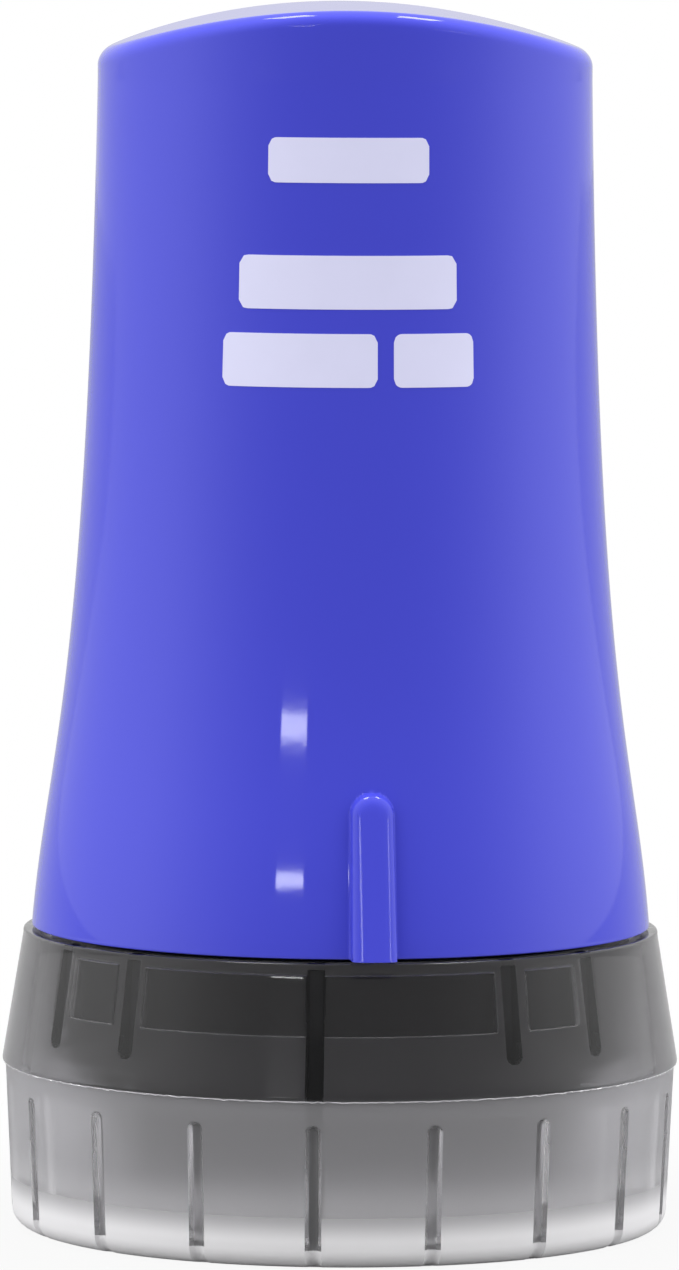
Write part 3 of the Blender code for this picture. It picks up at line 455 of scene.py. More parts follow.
# %% The cap's sizes
CAP_WALL, CAP_FLOOR, BASE_ROUND = 1.5 * MM, 1.6 * MM, 1.5 * MM
CAP_LAND, CAP_FLARE, CAP_TAPER, STEP = 0.7 * MM, 1.73 * MM, 0.65 * MM, 0.25 * MM
SHOULDER_SHARE = 0.557
GROOVES, GROOVE_HALF, GROOVE_DEPTH, GROOVE_TOP_SHARE = 17, 0.65 * MM, 0.5 * MM, 0.474
RIB_HALF, RIB_FOOT_SHARE, RIB_DROP = 0.65 * MM, 0.653, 0.7 * MM
RIB_TURNS = np.radians([36.6, 55.6, -36.6, -55.6])
POCKET_DEPTH, POCKET_FOOT_SHARE, POCKET_TOP_SHARE = 0.3 * MM, 0.757, 0.955
POCKETS = ((-33.5, 33.5), (40.0, 51.5), (-51.5, -40.0))
rim_radius = bell_foot_radius + CAP_LAND
shoulder_radius = rim_radius + CAP_FLARE
shoulder = cap_height * SHOULDER_SHARE
band_radius = shoulder_radius - STEP
base_radius = band_radius - CAP_TAPER
CAP_FACETS, GROOVE_FACETS = 70, 4  # the solid's flat facets, and those from one groove to the next
pitch = 2 * np.pi * GROOVE_FACETS / CAP_FACETS
key = FRONT - pitch / 2
print(f"shoulder at {shoulder * 1000:.1f} mm, radius {shoulder_radius * 1000:.2f} mm")

# %% The grid's angles, crowded at grooves, ribs and pocket edges
fine = np.linspace(-1.35, 1.35, 19) * GROOVE_HALF / base_radius
groove_angles = key + (np.arange(GROOVES) - GROOVES // 2) * pitch
rib_angles = np.concatenate([key + RIB_TURNS, key + np.pi + RIB_TURNS])
edges = np.radians(np.array([edge for pair in POCKETS for edge in pair]))
pocket_edges = np.concatenate([key + edges, key + edges + np.pi])
edge_lines = (pocket_edges[:, None] + np.array([-0.004, -0.0013, 0.0013, 0.004])).ravel()
crowded = (np.concatenate([groove_angles, rib_angles])[:, None] + fine).ravel()
lines = np.sort(np.mod(np.concatenate([circle(136) + key, crowded, edge_lines]), 2 * np.pi))
cap_angles = lines[np.concatenate([[True], np.diff(lines) > 0.0008])]
print("cap grid:", len(cap_angles), "angles")


# %% The cap's section, with marks for its inner and outer walls
def path(*stretches):
    """Joins stretches of (radius, height) end to end, leaving out each repeated first point."""
    return np.concatenate([stretches[0]] + [s[1:] for s in stretches[1:]])


def line(start, stop, step):
    """Points from start to stop, about a step apart."""
    start, stop = np.asarray(start, float), np.asarray(stop, float)
    count = max(2, int(round(np.linalg.norm(stop - start) / step)) + 1)
    return start + np.linspace(0, 1, count)[:, None] * (stop - start)


def bow(centre, radius, start, stop, steps=6):
    """An arc about a centre, from one angle to another in degrees."""
    a = np.radians(np.linspace(start, stop, steps + 1))
    return np.stack([centre[0] + radius * np.cos(a), centre[1] + radius * np.sin(a)], axis=-1)


inner_base = base_radius - CAP_WALL
inner_shoulder, inner_rim = band_radius - CAP_WALL, rim_radius - CAP_WALL
rib_foot = cap_height * RIB_FOOT_SHARE
pocket_foot, pocket_top = cap_height * POCKET_FOOT_SHARE, cap_height * POCKET_TOP_SHARE
RIM_ROUND = 0.4 * MM


def inner_wall(z):
    """The inner wall's radius over the shoulder, on a straight line to the rim."""
    share = (z - shoulder) / (cap_height - shoulder)
    return inner_shoulder + (inner_rim - inner_shoulder) * share


EDGE_ROWS = np.array([-0.09, -0.03, 0.03, 0.09]) * MM  # rows close to each edge of a rib or pocket


def inner_heights():
    """Heights up the inner upper wall, close together at the ribs' feet and the pockets' edges."""
    marks = [spaced(shoulder, rib_foot - 0.2 * MM, 0.6 * MM)]
    marks += [spaced(rib_foot - 0.2 * MM, rib_foot + 0.9 * MM, 0.1 * MM)]
    marks += [spaced(rib_foot + MM, cap_height - 0.2 * MM, 0.7 * MM)]
    marks += [edge + EDGE_ROWS for edge in (pocket_foot, pocket_top, cap_height - RIB_DROP)]
    return np.unique(np.round(np.concatenate(marks), 6))


z_up = inner_heights()
floor_in = line((0, CAP_FLOOR), (inner_base - BASE_ROUND, CAP_FLOOR), 2.5 * MM)
fillet_in = bow((inner_base - BASE_ROUND, CAP_FLOOR + BASE_ROUND), BASE_ROUND, -90, 0)
low_in = line(fillet_in[-1], (inner_shoulder, shoulder), 0.9 * MM)
high_in = np.stack([inner_wall(z_up), z_up], axis=-1)
rim_corners = [high_in[-1], (inner_rim, cap_height), (rim_radius, cap_height)]
rim_corners += [(rim_radius, cap_height - RIM_ROUND)]
rim = rounded(rim_corners, RIM_ROUND * 0.6, 4, closed=False)
high_out = line(rim[-1], (shoulder_radius, shoulder + 0.2 * MM), 1.0 * MM)
# one more row close above the shoulder keeps the smooth shading off its last tall face
high_out = np.insert(high_out, -1, high_out[-1] + 0.12 * (high_out[-2] - high_out[-1]), axis=0)
step_out = rounded([high_out[-1], (shoulder_radius, shoulder), (band_radius, shoulder - 0.05 * MM),
                    (band_radius, shoulder - 0.4 * MM)], 0.07 * MM, 3, closed=False)
groove_top = cap_height * GROOVE_TOP_SHARE
low_out = path(line(step_out[-1], (band_radius, groove_top + 0.1 * MM), 0.35 * MM),
               line((band_radius, groove_top + 0.1 * MM), (band_radius, groove_top - 0.8 * MM), 0.08 * MM),
               line((band_radius, groove_top - 0.8 * MM), (band_radius, BASE_ROUND), 0.7 * MM))
low_out[:, 0] -= CAP_TAPER * (1 - low_out[:, 1] / shoulder)
fillet_out = bow((low_out[-1, 0] - BASE_ROUND, BASE_ROUND), BASE_ROUND, 0, -90, 8)
floor_out = line(fillet_out[-1], (0, 0), 3 * MM)
over_the_rim = (floor_in, fillet_in, low_in, high_in, rim, high_out, step_out)
cap_section = path(*over_the_rim, low_out, fillet_out, floor_out)
counts = np.cumsum([len(floor_in)] + [len(s) - 1 for s in over_the_rim[1:]])
inner_end, lower_start = counts[3], counts[6]
print("cap section:", len(cap_section), "points")


# %% Move the grid at grooves, ribs and pockets
def nearest(angles, places):
    """The distance in radians from each angle to the nearest of the places."""
    gap = np.mod(angles[:, None] - places + np.pi, 2 * np.pi) - np.pi
    return gap[np.arange(len(angles)), np.abs(gap).argmin(axis=1)]


def groove_depth(radius, angles, z):
    """A groove is cut by a ball-nosed tool: its depth is sqrt(R^2 - d^2) - (R - depth), where d is
    the distance from the groove's middle line, which ends a ball's radius under the groove's top."""
    tool = (GROOVE_HALF**2 + GROOVE_DEPTH**2) / (2 * GROOVE_DEPTH)
    away = np.hypot(radius * nearest(angles, groove_angles), np.maximum(z - (groove_top - GROOVE_HALF), 0))
    return np.maximum(np.sqrt(np.maximum(tool**2 - away**2, 0)) - (tool - GROOVE_DEPTH), 0)


def rib_mask(radius, angles, z, places, foot):
    """1 on a rib and 0 off it, with a round foot and an edge a tenth of a millimetre wide."""
    below = np.maximum(foot + RIB_HALF - z, 0)
    outside = np.hypot(radius * nearest(angles, places), below) - RIB_HALF
    under_top = smoothstep(0.5 + (cap_height - RIB_DROP - z) / (0.12 * MM))
    return smoothstep(0.5 - outside / (0.2 * MM)) * under_top


def pocket_mask(angles, z):
    """1 in a pocket and 0 outside, from its range of angles and heights."""
    turn = np.degrees(np.mod(angles - key + np.pi / 2, np.pi) - np.pi / 2)
    side = np.zeros_like(angles)
    for start, stop in POCKETS:
        side = np.maximum(side, smoothstep(0.5 + np.minimum(turn - start, stop - turn) / 0.3))
    return side * smoothstep(0.5 + np.minimum(z - pocket_foot, pocket_top - z) / (0.12 * MM))


angles = cap_angles[None, :]
radius = np.repeat(cap_section[:, :1], len(cap_angles), axis=1)
z = cap_section[:, 1:]
inner = (np.arange(len(cap_section)) < inner_end)[:, None]
upper_inner = inner & (z > shoulder)
lower_outer = (np.arange(len(cap_section)) >= lower_start)[:, None]
grip = collar_radius + FIT
all_ribs = rib_mask(radius, cap_angles, z, rib_angles, rib_foot)
key_rib = rib_mask(radius, cap_angles, z, np.array([key]), 0.0) * (z > CAP_FLOOR + 0.05 * MM)
radius = radius + np.where(upper_inner, pocket_mask(cap_angles, z) * POCKET_DEPTH, 0)
ribs = np.where(inner, np.maximum(all_ribs, key_rib), 0) * (radius > grip)
radius = radius - ribs * (radius - grip)
radius = radius - np.where(lower_outer, groove_depth(radius, cap_angles, z), 0) * (z > 0.02 * MM)
rings = [radius * np.cos(angles), radius * np.sin(angles), z + 0 * radius]
cap = skin("smoke_cap", np.stack(rings, axis=-1), "poles")
cap_finishes = [smoke, frost, painted_light_frost, painted_shade_smoke, haze, painted_shade_rib, groove_smoke, painted_highlight_groove_side]
dress(cap, "cap", ["cap_shell"], "smoke_plastic", *cap_finishes)

# %% [markdown]
# The plastic is one colour, but not one surface. The tool was fine-blasted for the lower band, so
# that is frosted, and smoother in its grooves. The grooves' sides get a paler finish than their
# middle, a painted highlight along them. The frost is palest at the foot, where the white table
# shines into it: a pale, less clear finish there and a fade with the height are painted light for
# that. The upper band is clear outside and a little hazy inside. It looks darker because its wall is
# seen against the black collar, and its tint and the pockets' are painted darker still, a painted
# shade. Where a rib touches the collar it shows as a dark bar: the ribs get an opaque dark finish, a
# painted shade, a little paler towards the rim.

# %% Which surface each face of the cap has
SMOKE, FROST, PALE, PAINTED_DARK, HAZE, RIB, GROOVE, GROOVE_SIDE = range(8)
BASE_LIGHT, BASE_WHITE = 4.4 * MM, 2.1 * MM
HAZE_DROP = 1.5 * MM  # the haze inside reaches so far under the shoulder
GROOVE_START, GROOVE_CORE = 0.06, 0.7  # shares of a groove's depth where its side and its middle start
RIB_START = 0.02  # the share of the rib mask from which a face counts as rib
faces = len(cap.data.polygons)
centre, normal = np.zeros(faces * 3), np.zeros(faces * 3)
cap.data.polygons.foreach_get("center", centre)
cap.data.polygons.foreach_get("normal", normal)
centre, normal = centre.reshape(-1, 3), normal.reshape(-1, 3)
face_x, face_y, face_z = centre.T
face_radius, face_angle = np.hypot(face_x, face_y), np.arctan2(face_y, face_x)
inward = (centre[:, :2] * normal[:, :2]).sum(axis=1) < -0.3 * face_radius
under = (normal[:, 2] < -0.9) & (face_z < 0.1 * MM)
depth = groove_depth(face_radius, face_angle, face_z) / GROOVE_DEPTH
on_rib = np.maximum(rib_mask(face_radius, face_angle, face_z, rib_angles, rib_foot),
                    rib_mask(face_radius, face_angle, face_z, np.array([key]), 0.0))
within = inward | (face_radius < inner_base - 0.3 * MM)
inner_surface = np.where(face_z > shoulder - HAZE_DROP, HAZE, SMOKE)
# painted shade: the upper band outside takes the darker tint
outer_surface = np.where(face_z > shoulder, PAINTED_DARK, FROST)
surface = np.where(within, inner_surface, outer_surface)
in_groove = (surface == FROST) & (depth > GROOVE_START) & (face_z > CAP_FLOOR)
# painted highlight: the grooves' sides take the paler finish
surface = np.where(in_groove, np.where(depth > GROOVE_CORE, GROOVE, GROOVE_SIDE), surface)
# painted light: the frost low on the cap and its underside take the pale base finish
surface = np.where((surface == FROST) & (face_z < BASE_LIGHT) | under, PALE, surface)
in_pocket = pocket_mask(face_angle[None], face_z)[0] > 0.5
# painted shade: the pockets take the darker tint too
surface = np.where((surface == HAZE) & in_pocket, PAINTED_DARK, surface)
# painted shade: faces on a rib take the dark rib finish
surface = np.where(within & (on_rib > RIB_START) & (face_z > CAP_FLOOR + 0.1 * MM), RIB, surface)
cap.data.polygons.foreach_set("material_index", surface.astype(np.int32))
# painted light: the frost grows paler towards the foot
fade(frost, (210, 209, 213), BASE_LIGHT - 1 * MM, BASE_LIGHT + 3.4 * MM)
# painted shade: the dark rib finish turns a little paler towards the rim
fade(painted_shade_rib, (76, 76, 78), rib_foot + 1 * MM, rib_foot + 4 * MM)
# painted light: the pale base finish is whitest at the foot
fade(painted_light_frost, (184, 183, 186), BASE_WHITE, BASE_LIGHT)
print("cap faces by surface:", np.bincount(surface).tolist())

# %% [markdown]
# ## The parting line
#
# The cap was made in a tool of two halves that met at the shoulder. Where they met, a thin thread
# of plastic leaked out and was left as it broke off, which catches the light as a jagged line. It
# is drawn as a very thin fin: a ring whose reach wanders with the angle, from a sum of waves.

# %% A jagged fin round the shoulder
FIN_REACH, FIN_HALF, FIN_WAVES = 0.1 * MM, 0.05 * MM, 36
random = np.random.default_rng(7)
fin_angles = circle(720)
wave_counts = random.integers(20, 260, FIN_WAVES)
waves = np.cos(np.outer(fin_angles, wave_counts) + random.uniform(0, 2 * np.pi, FIN_WAVES)).sum(axis=1)
reach = FIN_REACH * (0.45 + 0.55 * np.clip(waves / np.sqrt(FIN_WAVES / 2) / 2, -0.8, 1))
rise = 0.04 * MM * np.cos(np.outer(fin_angles, wave_counts[::-1])).sum(axis=1) / np.sqrt(FIN_WAVES)
fin_root, fin_tip = shoulder_radius - 0.05 * MM, shoulder_radius + reach - FIN_REACH
fin_path = [(fin_root, -FIN_HALF), (fin_tip, -FIN_HALF / 3), (fin_tip, FIN_HALF / 3), (fin_root, FIN_HALF)]
fin_rings = [np.stack([(r + 0 * fin_angles) * np.cos(fin_angles), (r + 0 * fin_angles) * np.sin(fin_angles),
                       shoulder - 0.06 * MM + z + rise], axis=-1) for r, z in fin_path]
fin = skin("parting_fin", fin_rings)
fin.data.materials.append(thread)
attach(fin, "cap")
print("fin reaches", round(float(reach.max() * 1000), 3), "mm")

# %% [markdown]
# ## The collar
#
# Behind the cap's dark band is the black ring that carries the refill. It is turned all round but
# for one thing: its deck has a long window, through which the rollers and their side plates hang
# down. So its section is carried round the axis, and its innermost points follow the window.

# %% The window's edge, as a radius for each angle
EASE = 0.2 * MM
cheek_low, cheek_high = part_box("cheek_right")
bush_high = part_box("axle_bush_right")[1]
cheek_inside, cheek_outside = cheek_low.x, cheek_high.x
window_x, window_y = cheek_outside + FIT, cheek_high.y + FIT
DECK_THICKNESS, DECK_LIFT = 1.2 * MM, 0.7 * MM
COLLAR_WALL, COLLAR_ROUND, COLLAR_LAND = 1.1 * MM, 0.6 * MM, 0.3 * MM
deck_foot = bush_high.z + DECK_LIFT
deck_top = deck_foot + DECK_THICKNESS
collar_bore = np.hypot(window_x, window_y) + COLLAR_LAND
plug_radius = collar_bore + COLLAR_WALL
corner_angle = np.arctan2(window_y, window_x)
corners = np.array([corner_angle, np.pi - corner_angle, np.pi + corner_angle, -corner_angle])
near_corners = (corners[:, None] + np.linspace(-0.02, 0.02, 9)).ravel()
collar_angles = np.unique(np.round(np.mod(np.concatenate([circle(200), near_corners]), 2 * np.pi), 5))
window = np.minimum(window_x / np.maximum(np.abs(np.cos(collar_angles)), 1e-6),
                    window_y / np.maximum(np.abs(np.sin(collar_angles)), 1e-6))
print(f"deck {deck_foot * 1000:.1f} to {deck_top * 1000:.1f} mm,",
      f"window {window_x * 2000:.1f} x {window_y * 2000:.1f} mm")

# %% The collar
BEAD, BEAD_HEIGHT = 0.12 * MM, 1.2 * MM
bead_at = (cap_height + collar_high.z) / 2
bead_rise = spaced(-BEAD_HEIGHT / 2, BEAD_HEIGHT / 2, 0.15 * MM)
bead = np.stack([plug_radius + BEAD * np.cos(bead_rise / BEAD_HEIGHT * np.pi), bead_at - bead_rise], axis=-1)
ledge = cap_height
ring = [(collar_bore, deck_top), (collar_bore, collar_high.z)]
ring += [(plug_radius - COLLAR_ROUND / 2, collar_high.z)]
ring += [(plug_radius, collar_high.z - COLLAR_ROUND), *bead, (plug_radius, ledge), (collar_radius, ledge)]
ring += [(collar_radius, collar_low.z + COLLAR_ROUND), (collar_radius - COLLAR_ROUND, collar_low.z)]
ring += [(collar_bore, collar_low.z), (collar_bore, deck_foot)]
ring = rounded(ring, EASE, 3, closed=False)
deck_out = np.linspace(0, 1, 5)[1:-1]
deck_radii = window + deck_out[:, None] * (collar_bore - window)
ring_radii = np.repeat(ring[:, :1], len(window), axis=1)
collar_radii = np.concatenate([window[None], deck_radii, ring_radii, deck_radii[::-1], window[None]])
collar_z = np.concatenate([[deck_top] * 4, ring[:, 1], [deck_foot] * 4])[:, None]
rings = [collar_radii * np.cos(collar_angles), collar_radii * np.sin(collar_angles)]
rings += [collar_z + 0 * collar_radii]
collar = skin("collar", np.stack(rings, axis=-1))
dress(collar, "cartridge", ["cartridge_collar"], "black_plastic", black)

# %% [markdown]
# ## The roller's turned parts
#
# Core, tyres, bushes, axles and the foam are all turned, so each is a section on the lathe. What
# the plain solids leave out is what tells a moulding or a turned pin from a drawing: eased edges,
# the ribs and the pocket in the core's ends, the tread of the tyres and the points of the axles.

# %% Sections of rings and rods
def ring_section(inner, outer, start, stop, ease=EASE):
    """The section of a plain ring, from start to stop along its axis, with eased corners."""
    return rounded([(inner, start), (outer, start), (outer, stop), (inner, stop)], ease, 4)


def rod_section(radius, half, point):
    """Half of a turned pin: a flat end, a cone of the point's length, the shank, and the same again."""
    tip = [(0, -half), (radius - point, -half), (radius, -half + point)]
    corners = tip + [(r, -x) for r, x in tip[::-1]]
    return rounded(corners, point / 3, 3, closed=False)


# %% Print core and its tyres
core_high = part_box("print_core")[1]
core_radius, core_half = core_high.y, core_high.x
HUB_RADIUS, AXLE_RADIUS, CORE_POCKET, RIM_WALL, TYRE_WIDTH = 3.2 * MM, 1.5 * MM, 6 * MM, 1.3 * MM, 2.1 * MM
sleeve_bore = core_radius + FIT
core_end = [(AXLE_RADIUS + FIT, core_half), (HUB_RADIUS, core_half)]
core_end += [(HUB_RADIUS + EASE, core_half - CORE_POCKET)]
core_end += [(core_radius - RIM_WALL - EASE, core_half - CORE_POCKET), (core_radius - RIM_WALL, core_half)]
core_end += [(core_radius, core_half)]
core = lathe("core", rounded(core_end + [(r, -x) for r, x in core_end[::-1]], EASE, 3), 128, "X", print_axis)
dress(core, "print_roller", ["print_core"], "grey_plastic", grey)
tyre_start, tyre_end = roller_half + FIT, roller_half + FIT + TYRE_WIDTH
tread = spaced(tyre_start + 0.3 * MM, tyre_end - 0.3 * MM, 0.05 * MM)
tread_radius = print_radius - 0.06 * MM * (1 - np.cos(2 * np.pi * (tread - tread[0]) / (0.375 * MM)))
for side, word in ((-1, "left"), (1, "right")):
    walls = ring_section(sleeve_bore, print_radius, tyre_start, tyre_end, 0.25 * MM)
    cut = len(walls) // 2
    profile = np.concatenate([walls[:cut], np.stack([tread_radius, tread], axis=-1), walls[cut:]])
    profile[:, 1] *= side
    ring = lathe(f"tyre_{word}", profile, 160, "X", print_axis)
    dress(ring, "print_roller", [f"drive_tyre_{word}"], "tyre_rubber", tyre)

# %% Bushes and axles
BUSH_WALL, BUSH_FLANGE = 0.6 * MM, 0.8 * MM
bore = AXLE_RADIUS + FIT
axle_high, clip_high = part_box("print_axle")[1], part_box("axle_clip_right")[1]
for side, word in ((-1, "left"), (1, "right")):
    shape = [(bore, bush_high.x), (bore + BUSH_WALL + BUSH_FLANGE, bush_high.x)]
    shape += [(bore + BUSH_WALL + BUSH_FLANGE, cheek_outside + FIT), (bore + BUSH_WALL, cheek_outside + FIT)]
    shape = rounded(shape + [(bore + BUSH_WALL, cheek_inside), (bore, cheek_inside)], 0.12 * MM, 3)
    shape[:, 1] *= side
    bush = lathe(f"bush_{word}", shape, 64, "X", print_axis)
    dress(bush, "cartridge", [f"axle_bush_{word}"], "white_plastic", white)
pin = lathe("axle", rod_section(AXLE_RADIUS, axle_high.x, 0.3 * MM), 48, "X", print_axis)
dress(pin, "print_roller", ["print_axle"], "steel", steel)
ink_axle_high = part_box("ink_axle")[1]
INK_AXLE_RADIUS = 1.2 * MM
pin = lathe("ink_pin", rod_section(INK_AXLE_RADIUS, ink_axle_high.x, 0.25 * MM), 48, "X", ink_axis)
dress(pin, "ink_roller", ["ink_axle"], "steel", steel)

# %% Foam, its tube and its flanges
tube_high, flange_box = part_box("ink_core")[1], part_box("ink_flange_right")
FOAM_BORE, TUBE_RADIUS, FLANGE_RADIUS = 2.9 * MM, 2.6 * MM, 5.4 * MM
foam_half = foam_high.x
foam_section = path(line((FOAM_BORE, -foam_half), (FOAM_BORE, foam_half), 4 * MM),
                    line((FOAM_BORE, foam_half), (ink_radius - 0.5 * MM, foam_half), 0.5 * MM),
                    bow((ink_radius - 0.5 * MM, foam_half - 0.5 * MM), 0.5 * MM, 90, 0, 5),
                    line((ink_radius, foam_half - 0.5 * MM), (ink_radius, 0.5 * MM - foam_half), 0.35 * MM),
                    bow((ink_radius - 0.5 * MM, 0.5 * MM - foam_half), 0.5 * MM, 0, -90, 5),
                    line((ink_radius - 0.5 * MM, -foam_half), (FOAM_BORE, -foam_half), 0.5 * MM))[:-1]
roll = lathe("foam_roll", foam_section, 96, "X", ink_axis)
dress(roll, "ink_roller", ["ink_foam"], "ink_foam", foam)
tube_section = ring_section(INK_AXLE_RADIUS + FIT, TUBE_RADIUS, -tube_high.x, tube_high.x)
tube = lathe("foam_tube", tube_section, 64, "X", ink_axis)
dress(tube, "ink_roller", ["ink_core"], "grey_plastic", grey)
for side, word in ((-1, "left"), (1, "right")):
    disc = ring_section(FOAM_BORE, FLANGE_RADIUS, side * flange_box[0].x, side * flange_box[1].x)
    disc = lathe(f"flange_{word}", disc, 96, "X", ink_axis)
    dress(disc, "ink_roller", [f"ink_flange_{word}"], "grey_plastic", grey)

# %% [markdown]
# ## The print sleeve
#
# This is what does the work: a rubber sleeve whose relief is a jumble of strokes, which covers
# what lies under it when it is rolled across. The jumble is made of cells with seven short
# strokes each, as on a pocket calculator, some left out at random, in two layers that are moved
# against each other. The surface is a height field on the sleeve, which stands up at a stroke.

# %% The jumble's height at each place of the sleeve
STROKE_HALF, STROKE_EDGE = 0.24 * MM, 0.16 * MM
RELIEF, SLEEVE_MARGIN, RELIEF_STEP = 0.5 * MM, 0.7 * MM, 0.2 * MM
CELLS_ROUND, CELLS_ALONG, STROKES_DRAWN = 24, 9, 0.66
LEVEL_STROKES = [(0, 0, 1, 0), (0, 1, 1, 1), (0, 2, 1, 2)]
UPRIGHT_STROKES = [(0, 0, 0, 1), (1, 0, 1, 1), (0, 1, 0, 2), (1, 1, 1, 2)]
STROKES = np.array(LEVEL_STROKES + UPRIGHT_STROKES, float)


def jumble(round_place, along_place, seed, shift):
    """1 on a stroke and 0 beside it, for places round and along the sleeve in metres.

    Each cell is cell_round by cell_along. A stroke runs from a to b in its cell, and the distance
    of a point p from it is |p - a - t (b - a)| with t = (p - a).(b - a) / |b - a|^2 held in 0 to 1.
    """
    cell = np.array([2 * np.pi * print_radius / CELLS_ROUND, 2 * roller_half / CELLS_ALONG])
    place = np.stack(np.meshgrid(round_place, along_place, indexing="ij"), axis=-1) / cell + shift
    index = np.floor(place).astype(int) % [CELLS_ROUND, CELLS_ALONG + 1]
    inside = (place - np.floor(place)) * cell
    chance = np.random.default_rng(seed).random((CELLS_ROUND, CELLS_ALONG + 1, len(STROKES)))
    drawn = chance < STROKES_DRAWN
    margin = cell * (0.2, 0.14)
    span = (cell - 2 * margin) / (1, 2)
    start, stop = margin + STROKES[:, :2] * span, margin + STROKES[:, 2:] * span
    ahead = stop - start
    t = ((inside[..., None, :] - start) * ahead).sum(axis=-1) / (ahead**2).sum(axis=-1)
    away = np.linalg.norm(inside[..., None, :] - start - np.clip(t, 0, 1)[..., None] * ahead, axis=-1)
    away = np.where(drawn[index[..., 0], index[..., 1]], away, np.inf).min(axis=-1)
    return smoothstep(0.5 - (away - STROKE_HALF) / STROKE_EDGE)


# %% The sleeve as a height field
round_count = int(round(2 * np.pi * print_radius / RELIEF_STEP))
sleeve_angles = circle(round_count)
along = spaced(-roller_half + SLEEVE_MARGIN, roller_half - SLEEVE_MARGIN, RELIEF_STEP)
marks = np.maximum(jumble(sleeve_angles * print_radius, along, 3, (0.0, 0.0)),
                   jumble(sleeve_angles * print_radius, along, 11, (0.45, 0.5)))
marks = marks * smoothstep((roller_half - SLEEVE_MARGIN - np.abs(along)) / (2 * STROKE_EDGE))
base_radius_of_sleeve = print_radius - RELIEF
field = (base_radius_of_sleeve + RELIEF * marks).T
edge = bow((base_radius_of_sleeve - 0.3 * MM, roller_half - 0.3 * MM), 0.3 * MM, 0, 90, 4)
bore_line = line((sleeve_bore, roller_half), (sleeve_bore, -roller_half), 4 * MM)
before, after = edge[::-1] * (1, -1), np.concatenate([edge, bore_line])
sleeve_radii = np.concatenate([before[:, :1] + 0 * field[:1], field, after[:, :1] + 0 * field[:1]])
sleeve_along = np.concatenate([before[:, 1], along, after[:, 1]])[:, None] + 0 * sleeve_radii
rings = [sleeve_along, sleeve_radii * np.cos(sleeve_angles)]
rings += [sleeve_radii * np.sin(sleeve_angles) + print_axis]
sleeve = skin("relief_sleeve", np.stack(rings, axis=-1))
dress(sleeve, "print_roller", ["print_sleeve"], "print_rubber", rubber)
print(f"{marks.mean() * 100:.0f}% of the sleeve is raised")

# %% [markdown]
# ## Wire clips and leaf springs
#
# Both are bent from one gauge of wire or strip. The clip is a section carried along a line, an open
# ring beside each bush. The spring's strip is folded to and fro like a letter Z; the springs are eased
# copies of their solids, made with the moulded plates below.

# %% The clips
CLIP_WIRE, CLIP_OPEN = 0.3 * MM, 0.2


def clip_ring(name, x):
    """A round wire along an arc about the axle: its centre line has the radius of axle, play and
    half a wire, and the wire's end points run in, so that it closes."""
    centre_radius = AXLE_RADIUS + FIT + CLIP_WIRE
    bend = np.linspace(CLIP_OPEN, 2 - CLIP_OPEN, 72) * np.pi
    bend = np.concatenate([bend[:1], bend, bend[-1:]])
    thick = np.full(len(bend), CLIP_WIRE)
    thick[[0, -1]] = CLIP_WIRE * 0.4
    wire = circle(16)
    r = centre_radius + thick[:, None] * np.cos(wire)
    across = x + thick[:, None] * np.sin(wire)
    rings = [across, r * np.sin(bend[:, None]), print_axis + r * np.cos(bend[:, None])]
    return skin(name, np.stack(rings, axis=-1), "flat")


for side, word in ((-1, "left"), (1, "right")):
    clip = clip_ring(f"clip_{word}", side * (clip_high.x - CLIP_WIRE))
    dress(clip, "print_roller", [f"axle_clip_{word}"], "steel", steel)

# %% [markdown]
# ## Moulded plates
#
# The dock, the hood, the lid, the side plates and the bearings are flat-sided mouldings. Their
# solids already have the right faces, so each finished piece starts from a copy of its solid:
# the copy's triangles are merged to flat faces, and its edges get the small round that every
# moulding has. A bevel with a limit on the angle finds those edges by itself.

# %% Ease the edges of a copied solid
def eased(name, node, body, slot, material, width):
    """A copy of a CAD solid with its flat faces merged and its sharp edges rounded."""
    solid = bmesh.new()
    solid.from_mesh(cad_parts[node].data)
    bmesh.ops.remove_doubles(solid, verts=solid.verts, dist=0.002 * MM)
    bmesh.ops.dissolve_limit(solid, angle_limit=np.radians(1), verts=solid.verts, edges=solid.edges)
    mesh = bpy.data.meshes.new(name)
    solid.to_mesh(mesh)
    solid.free()
    piece = bpy.data.objects.new(name, mesh)
    bpy.context.scene.collection.objects.link(piece)
    bevel = piece.modifiers.new("Ease", "BEVEL")
    bevel.width = width
    bevel.segments = 3
    bevel.limit_method = "ANGLE"
    bevel.angle_limit = np.radians(35)
    bevel.use_clamp_overlap = True
    bevel.harden_normals = True
    mesh.shade_smooth()
    mesh.set_sharp_from_angle(angle=SMOOTH_UNDER)
    return dress(piece, body, [node], slot, material)


eased("dock", "handle_dock", "handle", "grey_plastic", grey, 0.25 * MM)
eased("hood", "ink_hood", "cartridge", "black_plastic", black, 0.3 * MM)
eased("lid", "ink_lid", "cartridge", "black_plastic", black, 0.25 * MM)
for word in ("left", "right"):
    eased(f"plate_{word}", f"cheek_{word}", "cartridge", "black_plastic", black, 0.18 * MM)
    eased(f"bearing_{word}", f"ink_bearing_{word}", "cartridge", "white_plastic", white, 0.15 * MM)
    eased(f"spring_{word}", f"ink_spring_{word}", "cartridge", "steel", steel, 0.06 * MM)

# %% [markdown]
# ## The table, the air and the camera
#
# The stamp stands on a white table in a white tent. The table and the air are white where the
# camera looks at them, and where a see-through or shiny surface shows them, so the smoke cap has
# a background to show. The light on the stamp is set apart from that, at a plain level. It is
# stronger from the sides than from the front, because the camera stands in the tent's opening, and
# weaker again from behind, so that the bell's back isn't washed out.

